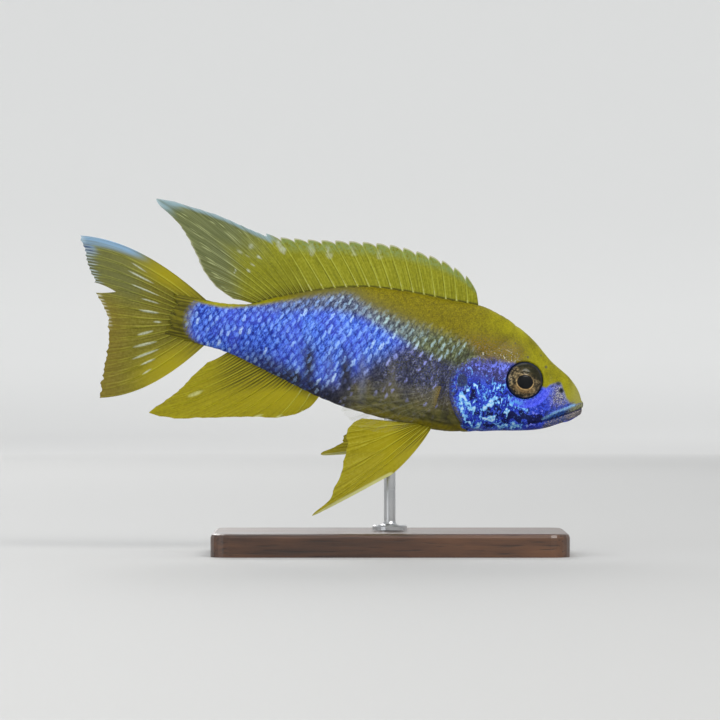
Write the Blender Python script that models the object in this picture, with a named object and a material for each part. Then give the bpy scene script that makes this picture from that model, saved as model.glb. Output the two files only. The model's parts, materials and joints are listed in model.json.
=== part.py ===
# A life-size model of a male peacock cichlid, swimming nose down on a plain display stand.
#
# The fish is measured in its own straight frame, in millimetres: s runs from the tip of the
# snout towards the tail, y to the fish's left and z upwards from the line between the snout and
# the middle of the tail stalk. A vertex there is (-s, y, z), so the fish faces +X.
# The pose empty turns the straight frame nose down and sets it on the stand.

import math

import bmesh
import bpy
import numpy as np
from mathutils import Vector

MM = 0.001

# Pose and stand
NOSE_DOWN = math.radians(12.25)
TAIL_SWING = 6.0  # how far the tip of the tail has swung to the fish's left
SWING_FROM = 45.0
SWING_TO = 137.0
BELLY_HEIGHT = 35.0  # height of the rod's place on the belly above the foot of the stand
ROD_AT = 48.0
ROD_RADIUS = 1.5
ROD_SUNK = 5.0  # length of rod inside the belly
BASE_LENGTH = 92.0
BASE_WIDTH = 48.0
BASE_THICKNESS = 6.0
BASE_CORNER = 5.0
BASE_EDGE = 1.0
FLANGE_RADIUS = 4.5
FLANGE_HEIGHT = 1.2
EASED = 0.3  # edges of the rod
FLANGE_FILLET = 1.0
ROD_SIDES = 24

# Fits
GAP = 0.3  # between two nodes that touch
HALF_GAP = GAP / 2
SHARP = math.radians(35)  # edges sharper than this are shaded sharp

# Outline of the body without its fins, as (s, z)
BACK = [
    (0.0, 0.7), (1.0, 2.7), (2.0, 4.1), (3.5, 5.6), (5.0, 6.8), (7.5, 8.2), (10.0, 9.6),
    (12.5, 11.5), (15.0, 13.5), (17.5, 15.1), (20.0, 16.4), (25.0, 18.4), (31.5, 19.8),
    (40.0, 19.6), (50.0, 19.4), (60.0, 18.5), (65.0, 17.4), (70.0, 16.0), (75.0, 14.2),
    (80.0, 12.2), (85.0, 10.0), (90.0, 7.5), (95.0, 6.5), (100.0, 6.1), (106.0, 6.3),
]
BELLY = [
    (0.0, -1.9), (1.0, -3.3), (2.5, -4.6), (5.0, -5.7), (7.5, -7.1), (10.0, -8.4), (15.0, -9.8),
    (20.0, -10.9), (25.0, -12.2), (30.0, -13.3), (37.0, -14.0), (50.0, -13.9), (60.0, -13.2),
    (67.0, -12.1), (75.0, -10.1), (85.0, -7.6), (93.0, -5.8), (100.0, -5.3), (106.0, -5.1),
]
HALF_WIDTH = [
    (0.0, 1.1), (1.0, 2.1), (3.0, 3.3), (6.0, 4.5), (10.0, 5.6), (16.0, 6.7), (22.0, 7.5),
    (30.0, 8.2), (38.0, 8.4), (50.0, 8.0), (60.0, 7.2), (70.0, 6.0), (80.0, 4.7), (90.0, 3.4),
    (98.0, 2.4), (106.0, 1.3),
]
WIDEST_AT = [
    (0.0, -0.9), (6.0, -2.2), (16.0, -2.4), (26.0, -1.4), (38.0, 0.0), (50.0, 0.8), (70.0, 1.2), (106.0, 0.5),
]
BACK_RIDGE = [(0.0, 0.85), (16.0, 0.9), (32.0, 1.1), (60.0, 1.15), (106.0, 1.0)]  # over 1 is sharper
BELLY_RIDGE = [(0.0, 0.55), (5.0, 0.6), (12.0, 0.8), (20.0, 0.9), (36.0, 0.8), (60.0, 0.9), (106.0, 1.0)]
BODY_SIDES = 28
HEAD_STATIONS = [
    0.0, 0.5, 1.2, 2.2, 3.5, 5.0, 6.7, 8.6, 10.6, 12.8, 15.0, 17.3, 19.6, 22.0, 24.5, 27.0, 29.5, 32.0,
]
TRUNK_STATION_FROM = 35.0
TRUNK_STATION_STEP = 3.0
BODY_END = 106.0  # past the root of the tail fin

# Where the body is parted, as (s, z)
NECK_CUT = [(29.0, 22.0), (31.5, 12.0), (33.0, 4.0), (33.0, -3.0), (31.0, -9.0), (27.5, -16.0)]
STALK_CUT = [(87.0, 22.0), (90.0, 0.0), (91.5, -18.0)]
TAIL_END = [
    (102.2, 9.0), (103.2, 6.1), (104.8, 4.0), (105.6, 1.0), (105.2, -2.0), (102.8, -4.4), (98.6, -5.6),
    (96.0, -8.0),
]
BLOCK_REACH = 30.0  # half length across the fish of the blocks that part the body

# Mouth, nostril and eye
MOUTH_FRONT = -0.75
MOUTH_SLOPE = -0.60
MOUTH_CORNER = 8.8
JAW_HINGE = (12.5, -10.5)
JAW_UNDER = -20.0  # below the whole head
SNOUT_AHEAD = -4.0  # in front of it
HEAD_OVER = 22.0  # above it
LIP_AT = [9.0, 7.4, 5.8, 4.3, 3.0, 2.0, 1.3, 0.8]  # from the corner to the front
LIP_FRONT = 0.6
LIP_RADIUS = 0.85
LIP_END_RADIUS = 0.5
LIP_SUNK = 0.35
LIP_SIDES = 8
NOSTRIL = (6.6, 3.2)
NOSTRIL_RADIUS = 0.55
NOSTRIL_DEPTH = 0.9
EYE = (16.0, 3.5)
EYE_RADIUS = 5.05
EYE_HALF_DEPTH = 2.7
EYE_SUNK = 1.4
EYE_TURN = math.radians(9.0)  # forwards
EYE_TILT = math.radians(7.0)  # upwards
EYE_SEGMENTS = 20
EYE_RINGS = 10

# Gill cover: its outline, and the shell it is cut from
GILL_COVER = [
    (24.0, -10.8), (22.6, -7.5), (23.6, -3.0), (23.8, 2.0), (25.5, 5.8), (29.0, 7.3), (32.8, 5.0),
    (35.0, 0.8), (34.6, -3.6), (32.6, -8.0), (29.4, -11.2), (26.4, -11.9),
]
COVER_RAISED = 0.45
COVER_DEPTH = 1.2
COVER_NEAR = 1.5  # the block it is cut from reaches from here
COVER_FAR = 14.0  # to here across the fish

# Fin thicknesses
MEMBRANE = 0.5
MEMBRANE_EDGE = 0.4
RAY_BASE = 1.1
RAY_TIP = 0.5
RIDGE_SHARE = 0.15  # half width of a ray's ridge, as a share of the space to the next ray
SKIN_SHARES = (RIDGE_SHARE, 0.5, 1 - RIDGE_SHARE)
THIN_RAY_BASE = 0.9  # of the paired fins
SKIN_REACH = 0.985  # the skin between two soft rays ends just short of their tips

# Dorsal fin: hard spines that lean back more and more, then soft rays drawn out to a point
SPINES = 16
SPINE_FIRST = 31.8
SPINE_STEP = 2.88
SPINE_LEAN = 1.2
SPINE_LEAN_MORE = 0.218
SPINE_BOW = 0.03
SOFT_BOW = 0.05
DORSAL_LEVELS = 7
LAPPET = 0.8  # how far the skin stands past the line of the spine tips
LAPPET_FALL = 1.5  # it falls this many times its height towards the next spine
DORSAL_EDGE = [
    (32.0, 21.5), (33.0, 23.2), (36.0, 25.4), (40.0, 27.3), (45.0, 28.7), (50.0, 29.3), (56.0, 29.6),
    (62.0, 29.1), (70.0, 27.9), (78.0, 26.5), (86.0, 25.5),
]
SOFT_FIRST = 76.9
SOFT_STEP = 1.4
SOFT_TIPS = [
    (89.5, 25.9), (94.0, 26.8), (100.0, 28.1), (108.5, 29.2), (120.3, 29.6), (113.6, 24.9),
    (109.3, 20.9), (106.0, 16.8), (103.2, 12.6), (97.5, 8.9),
]

# Tail fin
TAIL_RAYS = 16
TAIL_TIPS = [
    (136.9, 15.2), (136.0, 13.0), (135.0, 11.0), (134.0, 8.8), (132.6, 6.6), (131.0, 4.6), (130.0, 2.0),
    (128.0, -0.4), (126.3, -3.0), (125.0, -6.0), (124.3, -9.2), (124.0, -12.4), (124.0, -15.6),
    (123.9, -18.8), (123.8, -21.8), (123.5, -24.7),
]
TAIL_BOW_TOP = 0.20
TAIL_BOW_BOTTOM = -0.19
TAIL_BOW_AT = 0.6
TAIL_LEVELS = 9
TAIL_ROOT_TOP = 5.9
TAIL_ROOT_BOTTOM = -5.5
TAIL_SPLIT = 5  # the skin is torn between this ray and the next
TAIL_SPLIT_TO = 0.74
TAIL_SPLIT_FORM = 0.6

# Anal fin
ANAL_FROM = 67.3
ANAL_TO = 93.2
ANAL_BOW = -0.08
SOFT_LEVELS = 8  # of the anal fin and the paired fins
ANAL_TIPS = [
    (69.2, -15.6), (72.4, -18.0), (76.8, -19.8), (83.0, -21.0), (89.0, -22.4), (96.0, -24.2),
    (103.0, -25.8), (109.8, -25.7), (106.2, -21.5), (103.2, -18.0), (100.8, -14.2), (97.6, -9.6),
]

# Pelvic fins: the near one hangs, the far one is swept back
PELVIC_FROM = 37.0
PELVIC_STEP = 0.95
PELVIC_SIDE = 2.3
PELVIC_SIDE_STEP = 0.12
PELVIC_SPLAY = 0.20
PELVIC_BOW = -0.10
PELVIC_LEAD = (-0.8, 0.5, -3.0)  # the first stretch of each ray: back, outwards and down
RIGHT_PELVIC_TIPS = [(44.6, -27.9), (62.4, -42.6), (59.0, -37.2), (57.8, -30.5), (57.6, -24.0), (57.0, -18.0)]
LEFT_PELVIC_TIPS = [(47.5, -22.5), (63.7, -27.2), (60.4, -23.8), (58.8, -20.8), (57.6, -18.6), (55.5, -16.6)]

# Pectoral fins, folded back and down along the flank
PECTORAL_ROOT = [(36.9, -2.8), (37.5, -8.0)]
PECTORAL_TIPS = [
    (56.5, -5.2), (60.5, -8.0), (62.2, -11.2), (61.0, -14.2), (58.6, -16.4), (55.4, -17.6),
    (52.0, -18.0), (48.6, -17.4), (45.4, -16.0), (42.6, -14.0),
]
PECTORAL_SPREAD = 0.28
PECTORAL_BOW = -0.04
PECTORAL_LEAD = (-0.8, 2.6, -0.2)

COLOURS = {  # base colour, roughness, metallic
    "back_yellow": ((0.36, 0.33, 0.03), 0.4, 0.0),
    "flank_blue": ((0.09, 0.14, 0.58), 0.3, 0.5),
    "cheek_blue": ((0.05, 0.10, 0.60), 0.25, 0.5),
    "jaw_blue": ((0.08, 0.13, 0.42), 0.3, 0.3),
    "fin_yellow": ((0.42, 0.38, 0.02), 0.4, 0.0),
    "clear_fin": ((0.55, 0.55, 0.40), 0.35, 0.0),
    "eye_brown": ((0.10, 0.07, 0.03), 0.1, 0.0),
    "base_wood": ((0.06, 0.035, 0.02), 0.35, 0.0),
    "rod_steel": ((0.60, 0.60, 0.60), 0.25, 1.0),
}


def smooth(points):
    """A curve through the points that never overshoots between them, as a function of the first number."""
    at, value = np.array(points, float).T
    step = np.diff(at)
    slope = np.diff(value) / step
    tangent = np.zeros_like(at)
    tangent[0], tangent[-1] = slope[0], slope[-1]
    for i in range(1, len(at) - 1):
        if slope[i - 1] * slope[i] > 0:
            before, after = 2 * step[i] + step[i - 1], step[i] + 2 * step[i - 1]
            tangent[i] = (before + after) / (before / slope[i - 1] + after / slope[i])

    def curve(x):
        i = int(np.clip(np.searchsorted(at, x) - 1, 0, len(step) - 1))
        t = (x - at[i]) / step[i]
        return float(
            (1 + 2 * t) * (1 - t) ** 2 * value[i] + t * (1 - t) ** 2 * step[i] * tangent[i]
            + t * t * (3 - 2 * t) * value[i + 1] - t * t * (1 - t) * step[i] * tangent[i + 1]
        )

    return curve


back, belly, half_width = smooth(BACK), smooth(BELLY), smooth(HALF_WIDTH)
widest_at, back_ridge, belly_ridge = smooth(WIDEST_AT), smooth(BACK_RIDGE), smooth(BELLY_RIDGE)
dorsal_edge = smooth(DORSAL_EDGE)


def side_at(s, z):
    """Half the body's width at a height."""
    middle = widest_at(s)
    reach = back(s) - middle if z > middle else middle - belly(s)
    ridge = back_ridge(s) if z > middle else belly_ridge(s)
    return half_width(s) * max(0.0, 1 - ((z - middle) / reach) ** 2) ** (ridge / 2)


def under_at(s, y):
    """Height of the body's underside at a distance from its middle plane."""
    middle = widest_at(s)
    across = min(abs(y) / half_width(s), 1.0)
    return middle - (middle - belly(s)) * math.sqrt(1 - across ** (2 / belly_ridge(s)))


def add_object(name, bm, colour=None):
    """A named object from a bmesh in millimetres, in the fish's straight frame or the stand's."""
    bmesh.ops.recalc_face_normals(bm, faces=bm.faces)
    mesh = bpy.data.meshes.new(name)
    bm.to_mesh(mesh)
    bm.free()
    obj = bpy.data.objects.new(name, mesh)
    model.objects.link(obj)
    if colour:
        mesh.materials.append(materials[colour])
    return obj


def loft(name, rings, colour=None):
    """A closed solid through rings that have the same number of points."""
    bm = bmesh.new()
    levels = [[bm.verts.new(p) for p in ring] for ring in rings]
    count = len(levels[0])
    for low, high in zip(levels, levels[1:]):
        for k in range(count):
            n = (k + 1) % count
            bm.faces.new((low[k], low[n], high[n], high[k]))
    bm.faces.new(levels[0][::-1])
    bm.faces.new(levels[-1])
    return add_object(name, bm, colour)


def slab(name, outline, low, high):
    """An outline in s and z, made a block from y = low to y = high."""
    bm = bmesh.new()
    face = bm.faces.new([bm.verts.new((-s, low, z)) for s, z in outline])
    made = bmesh.ops.extrude_face_region(bm, geom=[face])["geom"]
    moved = [v for v in made if isinstance(v, bmesh.types.BMVert)]
    bmesh.ops.translate(bm, verts=moved, vec=(0, high - low, 0))
    return add_object(name, bm)


def ellipsoid(name, centre, radii, turn=(0, 0, 0), segments=EYE_SEGMENTS, rings=EYE_RINGS, colour=None):
    """Its poles lie on its own Y axis."""
    bm = bmesh.new()
    bmesh.ops.create_uvsphere(bm, u_segments=segments, v_segments=rings, radius=1)
    obj = add_object(name, bm, colour)
    for v in obj.data.vertices:
        v.co = Vector((v.co.x * radii[0], v.co.z * radii[1], -v.co.y * radii[2]))
    obj.rotation_euler = turn
    obj.location = centre
    settle(obj)
    return obj


def settle(obj):
    """Puts the object's place and turn into its mesh."""
    bpy.context.view_layer.update()
    obj.data.transform(obj.matrix_world)
    obj.matrix_world.identity()


def combine(obj, others, operation):
    """One Boolean of the object with a collection of others, which are then removed."""
    group = bpy.data.collections.new("operands")
    for other in others:
        model.objects.unlink(other)
        group.objects.link(other)
    modifier = obj.modifiers.new("Boolean", "BOOLEAN")
    modifier.operation = operation
    modifier.solver = "EXACT"
    modifier.operand_type = "COLLECTION"
    modifier.collection = group
    bpy.context.view_layer.update()
    result = bpy.data.meshes.new_from_object(obj.evaluated_get(bpy.context.evaluated_depsgraph_get()))
    obj.modifiers.clear()
    obj.data = result
    for other in others:
        bpy.data.objects.remove(other)
    bpy.data.collections.remove(group)
    keep_largest(obj)


def keep_largest(obj):
    """Drops every closed surface of the mesh but the one with the most faces."""
    bm = bmesh.new()
    bm.from_mesh(obj.data)
    left, islands = set(bm.faces), []
    while left:
        island, edge = set(), [left.pop()]
        while edge:
            face = edge.pop()
            island.add(face)
            near = {f for e in face.edges for f in e.link_faces} & left
            left -= near
            edge.extend(near)
        islands.append(island)
    largest = max(islands, key=len)
    bmesh.ops.delete(bm, geom=[f for f in bm.faces if f not in largest], context="FACES")
    bm.to_mesh(obj.data)
    bm.free()


def body_ring(s, grow=0.0):
    """One cross section of the body, made larger all round by grow."""
    middle = widest_at(s)
    ring = []
    for k in range(BODY_SIDES):
        angle = 2 * math.pi * k / BODY_SIDES
        across, up = math.cos(angle), math.sin(angle)
        ridge = back_ridge(s) if up > 0 else belly_ridge(s)
        reach = back(s) + grow - middle if up > 0 else middle - belly(s) + grow
        y = math.copysign((half_width(s) + grow) * abs(across) ** ridge, across)
        ring.append((-s, y, middle + reach * up))
    return ring


def body(name, grow=0.0, colour=None):
    stations = HEAD_STATIONS + list(np.arange(TRUNK_STATION_FROM, BODY_END, TRUNK_STATION_STEP)) + [BODY_END]
    return loft(name, [body_ring(s, grow) for s in stations], colour)


def moved_along(line, by):
    return [(s + by, z) for s, z in line]


def mouth_height(s):
    return MOUTH_FRONT + MOUTH_SLOPE * s


def mouth_line(by):
    """From in front of the snout to the corner of the mouth and the hinge of the jaw."""
    front = (SNOUT_AHEAD, mouth_height(SNOUT_AHEAD) + by)
    corner = (MOUTH_CORNER, mouth_height(MOUTH_CORNER) + by)
    hinge = (JAW_HINGE[0] + by, JAW_HINGE[1])
    return [front, corner, hinge]


def body_part(name, outline, colour):
    """The body inside an outline."""
    part = body(name, colour=colour)
    combine(part, [slab("block", outline, -BLOCK_REACH, BLOCK_REACH)], "INTERSECT")
    return part


def lip(name, above):
    """A round lip from one corner of the mouth, round the front, to the other."""
    centres, radii = [], []
    for s, side in [(s, -1) for s in LIP_AT] + [(LIP_FRONT, 0)] + [(s, 1) for s in LIP_AT[::-1]]:
        radius = LIP_RADIUS + (LIP_END_RADIUS - LIP_RADIUS) * s / LIP_AT[0]
        z = mouth_height(s) + above * (radius + HALF_GAP)
        centres.append(Vector((-s, side * max(side_at(s, z) - LIP_SUNK, 0.0), z)))
        radii.append(radius)
    rings = []
    for k, (centre, radius) in enumerate(zip(centres, radii)):
        along = centres[min(k + 1, len(centres) - 1)] - centres[max(k - 1, 0)]
        out = along.cross(Vector((0, 0, 1))).normalized()
        up = out.cross(along).normalized()
        turns = [2 * math.pi * n / LIP_SIDES for n in range(LIP_SIDES)]
        rings.append([centre + (out * math.cos(a) + up * math.sin(a)) * radius for a in turns])
    return loft(name, rings)


def eye_frame(side):
    """Centre and turn of one eye, sunk in the head along its own axis."""
    surface = side_at(*EYE)
    axis = Vector((math.sin(EYE_TURN), side * math.cos(EYE_TURN) * math.cos(EYE_TILT), math.sin(EYE_TILT)))
    centre = Vector((-EYE[0], side * surface, EYE[1])) - axis.normalized() * EYE_SUNK
    return centre, (side * EYE_TILT, 0, -side * EYE_TURN)


def eyeball(name, side, grow=0.0, colour=None):
    centre, turn = eye_frame(side)
    radii = (EYE_RADIUS + grow, EYE_HALF_DEPTH + grow, EYE_RADIUS + grow)
    return ellipsoid(name, centre, radii, turn, colour=colour)


def nostril_pit(side):
    centre = (-NOSTRIL[0], side * side_at(*NOSTRIL), NOSTRIL[1])
    radii = (NOSTRIL_RADIUS, NOSTRIL_DEPTH, NOSTRIL_RADIUS)
    return ellipsoid("pit", centre, radii, segments=EYE_SEGMENTS // 2, rings=EYE_RINGS // 2)


def cover_outline(grow):
    """The gill cover's outline, rounded between its points and made larger by grow."""
    count = len(GILL_COVER)
    middle = Vector((sum(p[0] for p in GILL_COVER), sum(p[1] for p in GILL_COVER))) / count
    outline = []
    for i in range(count):
        a, b, c, d = (Vector(GILL_COVER[(i + k) % count]) for k in (-1, 0, 1, 2))
        for point in (b, (9 * (b + c) - a - d) / 16):
            outline.append(tuple(point + (point - middle).normalized() * grow))
    return outline


def cover_blank(name, side, grow, colour=None):
    """The block through one side of the body that the gill cover is cut from."""
    low, high = sorted((side * COVER_NEAR, side * COVER_FAR))
    blank = slab(name, cover_outline(grow), low, high)
    if colour:
        blank.data.materials.append(materials[colour])
    return blank


def gill_cover(name, side):
    cover = cover_blank(name, side, 0.0, "cheek_blue")
    combine(cover, [body("outer", COVER_RAISED)], "INTERSECT")
    combine(cover, [body("inner", -COVER_DEPTH)], "DIFFERENCE")
    return cover


def cover_pocket(side):
    """What is cut from the head and the trunk to take the gill cover."""
    pocket = cover_blank("pocket", side, GAP)
    combine(pocket, [body("inner", -COVER_DEPTH - GAP)], "DIFFERENCE")
    return pocket


def rod_line():
    """Where the rod meets the belly, and the way up along it, in the fish's frame."""
    start = Vector((-ROD_AT, 0, belly(ROD_AT)))
    up = Vector((-math.sin(NOSE_DOWN), 0, math.cos(NOSE_DOWN)))
    return start, up


def rod_socket():
    start, up = rod_line()
    bm = bmesh.new()
    r = ROD_RADIUS + GAP
    length = 2 * (ROD_SUNK + GAP)
    bmesh.ops.create_cone(bm, segments=ROD_SIDES, radius1=r, radius2=r, depth=length, cap_ends=True)
    obj = add_object("socket", bm)
    obj.rotation_euler = (0, -NOSE_DOWN, 0)
    obj.location = start
    settle(obj)
    return obj


def build_body():
    jaw_block = mouth_line(-HALF_GAP) + [(JAW_HINGE[0] - HALF_GAP, JAW_UNDER), (SNOUT_AHEAD, JAW_UNDER)]
    head_block = mouth_line(HALF_GAP) + [(JAW_HINGE[0] + HALF_GAP, JAW_UNDER)]
    head_block += moved_along(NECK_CUT, -HALF_GAP)[::-1] + [(SNOUT_AHEAD, HEAD_OVER)]
    trunk_block = moved_along(NECK_CUT, HALF_GAP) + moved_along(STALK_CUT, -HALF_GAP)[::-1]
    stalk_block = moved_along(STALK_CUT, HALF_GAP) + TAIL_END[::-1]

    head = body_part("head", head_block, "back_yellow")
    combine(head, [lip("upper", 1)], "UNION")
    hollows = [eyeball("socket", side, GAP) for side in (-1, 1)]
    hollows += [nostril_pit(side) for side in (-1, 1)] + [cover_pocket(side) for side in (-1, 1)]
    combine(head, hollows, "DIFFERENCE")

    jaw = body_part("lower_jaw", jaw_block, "jaw_blue")
    combine(jaw, [lip("lower", -1)], "UNION")

    trunk = body_part("trunk", trunk_block, "flank_blue")
    combine(trunk, [cover_pocket(side) for side in (-1, 1)] + [rod_socket()], "DIFFERENCE")

    stalk = body_part("tail_stalk", stalk_block, "flank_blue")
    covers = [gill_cover("gill_cover_right", -1), gill_cover("gill_cover_left", 1)]
    eyes = [eyeball("eye_right", -1, colour="eye_brown"), eyeball("eye_left", 1, colour="eye_brown")]
    return [head, jaw, trunk, stalk] + covers + eyes


class Ray:
    """One fin ray, from its root on the body to its tip, as a curve."""

    def __init__(self, root, tip, bow=0.0, bow_at=0.5, lead=None):
        self.root, self.tip = Vector(root), Vector(tip)
        along = self.tip - self.root
        # Bowing turns the ray in the plane of the fish's side
        aside = Vector((along.z, 0, -along.x)) * bow
        middle = self.root + along * bow_at + aside
        self.near = self.root + (lead if lead else (middle - self.root) * 2 / 3)
        self.far = middle + (self.tip - middle) / 3
        self.length = along.length

    def point(self, t):
        near, far = 3 * t * (1 - t) ** 2, 3 * t * t * (1 - t)
        return self.root * (1 - t) ** 3 + self.near * near + self.far * far + self.tip * t**3


def fin_columns(rays, edge):
    """Lines across the fin: each ray, the feet of its ridge, and the skin half way to the next."""
    columns = []
    for i, ray in enumerate(rays):
        columns.append((ray, ray, 0.0, 1.0, True))
        if i + 1 < len(rays):
            for share in SKIN_SHARES:
                columns.append((ray, rays[i + 1], share, edge(i, share, ray), False))
    return columns


def soft_edge(i, share, ray):
    return SKIN_REACH


def fin(name, rays, colour, rows, edge=soft_edge, ray_base=RAY_BASE):
    """A skin over rays, whose ridges are raised on both of its faces."""
    columns = fin_columns(rays, edge)
    levels = np.linspace(0, 1, rows)
    middle, thick = [], []
    for first, second, share, reach, is_ray in columns:
        line = [first.point(t * reach).lerp(second.point(t * reach), share) for t in levels]
        middle.append([np.array(p) for p in line])
        skin = [MEMBRANE + (MEMBRANE_EDGE - MEMBRANE) * t**3 for t in levels]
        ridge = [ray_base + (RAY_TIP - ray_base) * t for t in levels]
        thick.append(ridge if is_ray else skin)
    middle, thick = np.array(middle), np.array(thick)
    normal = np.cross(np.gradient(middle, axis=0), np.gradient(middle, axis=1))
    normal /= np.maximum(np.linalg.norm(normal, axis=2, keepdims=True), 1e-9)
    offset = normal * thick[..., None] / 2
    bm = bmesh.new()
    faces = (middle + offset, middle - offset)
    sheets = [[[bm.verts.new(p) for p in line] for line in face] for face in faces]
    last, top = len(columns) - 1, rows - 1
    for i in range(last):
        for j in range(top):
            # Both faces are split along the same diagonal
            for a, b, c in (((i, j), (i + 1, j), (i + 1, j + 1)), ((i, j), (i + 1, j + 1), (i, j + 1))):
                bm.faces.new([sheets[0][p][q] for p, q in (a, b, c)])
                bm.faces.new([sheets[1][p][q] for p, q in (c, b, a)])
    rim = [(i, 0) for i in range(last)] + [(last, j) for j in range(top)]
    rim += [(i, top) for i in range(last, 0, -1)] + [(0, j) for j in range(top, 0, -1)]
    for (a, b), (c, d) in zip(rim, rim[1:] + rim[:1]):
        bm.faces.new((sheets[0][a][b], sheets[1][a][b], sheets[1][c][d]))
        bm.faces.new((sheets[0][a][b], sheets[1][c][d], sheets[0][c][d]))
    return add_object(name, bm, colour)


def dorsal_fin():
    rays = []
    for i in range(SPINES):
        s = SPINE_FIRST + SPINE_STEP * i
        tip = s + SPINE_LEAN + SPINE_LEAN_MORE * (s - SPINE_FIRST)
        rays.append(Ray((-s, 0, back(s) + GAP), (-tip, 0, dorsal_edge(tip)), bow=SPINE_BOW))
    for j, (tip, height) in enumerate(SOFT_TIPS):
        s = SOFT_FIRST + SOFT_STEP * j
        rays.append(Ray((-s, 0, back(s) + GAP), (-tip, 0, height), bow=SOFT_BOW))

    def edge(i, share, ray):
        if i >= SPINES:
            return SKIN_REACH
        # The skin stands up behind each spine and dips just before the next
        return 1 + LAPPET * (1 - LAPPET_FALL * share**2) / ray.length

    return fin("dorsal_fin", rays, "fin_yellow", DORSAL_LEVELS, edge)


def tail_fin():
    end = smooth([(-z, s) for s, z in TAIL_END[1:-1]])
    rays = []
    for k, (tip, height) in enumerate(TAIL_TIPS):
        share = k / (TAIL_RAYS - 1)
        root = TAIL_ROOT_TOP + (TAIL_ROOT_BOTTOM - TAIL_ROOT_TOP) * share
        bow = TAIL_BOW_TOP + (TAIL_BOW_BOTTOM - TAIL_BOW_TOP) * share
        rays.append(Ray((-(end(-root) + GAP), 0, root), (-tip, 0, height), bow=bow, bow_at=TAIL_BOW_AT))

    def edge(i, share, ray):
        if i != TAIL_SPLIT:
            return SKIN_REACH
        return 1 - (1 - TAIL_SPLIT_TO) * (1 - abs(2 * share - 1)) ** TAIL_SPLIT_FORM

    return fin("caudal_fin", rays, "fin_yellow", TAIL_LEVELS, edge)


def anal_fin():
    rays = []
    for i, (tip, depth) in enumerate(ANAL_TIPS):
        s = ANAL_FROM + (ANAL_TO - ANAL_FROM) * i / (len(ANAL_TIPS) - 1)
        rays.append(Ray((-s, 0, belly(s) - GAP), (-tip, 0, depth), bow=ANAL_BOW))
    return fin("anal_fin", rays, "fin_yellow", SOFT_LEVELS)


def to_side(vector, side):
    return Vector((vector[0], vector[1] * side, vector[2]))


def pelvic_fin(name, side, tips):
    rays = []
    for i, (tip, depth) in enumerate(tips):
        s = PELVIC_FROM + PELVIC_STEP * i
        y = PELVIC_SIDE + PELVIC_SIDE_STEP * i
        root = to_side((-s, y, under_at(s, y) - GAP), side)
        reach = math.hypot(tip - s, depth - root.z)
        far = to_side((-tip, y + PELVIC_SPLAY * reach, depth), side)
        rays.append(Ray(root, far, bow=PELVIC_BOW, lead=to_side(PELVIC_LEAD, side)))
    return fin(name, rays, "fin_yellow", SOFT_LEVELS, ray_base=THIN_RAY_BASE)


def pectoral_fin(name, side):
    rays = []
    (s_top, z_top), (s_low, z_low) = PECTORAL_ROOT
    for i, (tip, height) in enumerate(PECTORAL_TIPS):
        share = i / (len(PECTORAL_TIPS) - 1)
        s = s_top + (s_low - s_top) * share
        z = z_top + (z_low - z_top) * share
        y = side_at(s, z) + GAP
        far = to_side((-tip, y + PECTORAL_SPREAD * (tip - s), height), side)
        rays.append(Ray(to_side((-s, y, z), side), far, bow=PECTORAL_BOW, lead=to_side(PECTORAL_LEAD, side)))
    return fin(name, rays, "clear_fin", SOFT_LEVELS, ray_base=THIN_RAY_BASE)


def build_fins():
    return [
        dorsal_fin(),
        tail_fin(),
        anal_fin(),
        pelvic_fin("pelvic_fin_right", -1, RIGHT_PELVIC_TIPS),
        pelvic_fin("pelvic_fin_left", 1, LEFT_PELVIC_TIPS),
        pectoral_fin("pectoral_fin_right", -1),
        pectoral_fin("pectoral_fin_left", 1),
    ]


def stand_base():
    bm = bmesh.new()
    bmesh.ops.create_cube(bm, size=1)
    bmesh.ops.scale(bm, verts=bm.verts, vec=(BASE_LENGTH, BASE_WIDTH, BASE_THICKNESS))
    bmesh.ops.translate(bm, verts=bm.verts, vec=(0, 0, BASE_THICKNESS / 2))
    upright = [e for e in bm.edges if abs(e.verts[0].co.z - e.verts[1].co.z) > 1]
    bmesh.ops.bevel(bm, geom=upright, offset=BASE_CORNER, segments=5, profile=0.5, affect="EDGES")
    rim = [e for e in bm.edges if all(abs(v.co.z - BASE_THICKNESS) < 1e-4 for v in e.verts)]
    bmesh.ops.bevel(bm, geom=rim, offset=BASE_EDGE, segments=2, profile=0.5, affect="EDGES")
    return add_object("stand_base", bm, "base_wood")


def stand_rod():
    """A turned rod with a small flange, from just above the base to its socket in the belly."""
    foot = BASE_THICKNESS + GAP
    flange = foot + FLANGE_HEIGHT
    top = BELLY_HEIGHT + ROD_SUNK
    profile = [
        (0.0, top),
        (ROD_RADIUS - EASED, top),
        (ROD_RADIUS, top - EASED),
        (ROD_RADIUS, flange + FLANGE_FILLET),
        (ROD_RADIUS + EASED, flange + EASED),
        (ROD_RADIUS + FLANGE_FILLET, flange),
        (FLANGE_RADIUS - EASED, flange),
        (FLANGE_RADIUS, flange - EASED),
        (FLANGE_RADIUS, foot),
        (0.0, foot),
    ]
    bm = bmesh.new()
    line = [bm.verts.new((x, 0, z)) for x, z in profile]
    edges = [bm.edges.new(pair) for pair in zip(line, line[1:])]
    turn = 2 * math.pi
    bmesh.ops.spin(bm, geom=line + edges, axis=(0, 0, 1), cent=(0, 0, 0), angle=turn, steps=ROD_SIDES)
    bmesh.ops.remove_doubles(bm, verts=bm.verts, dist=1e-3)
    return add_object("stand_rod", bm, "rod_steel")


def swing(obj):
    """Curves the rear of the fish gently to its left."""
    for v in obj.data.vertices:
        share = max(0.0, (-v.co.x - SWING_FROM) / (SWING_TO - SWING_FROM))
        v.co.y += TAIL_SWING * share**2


def to_metres(obj):
    for v in obj.data.vertices:
        v.co *= MM


def shade(obj):
    obj.data.shade_smooth()
    obj.data.set_sharp_from_angle(angle=SHARP)


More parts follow.
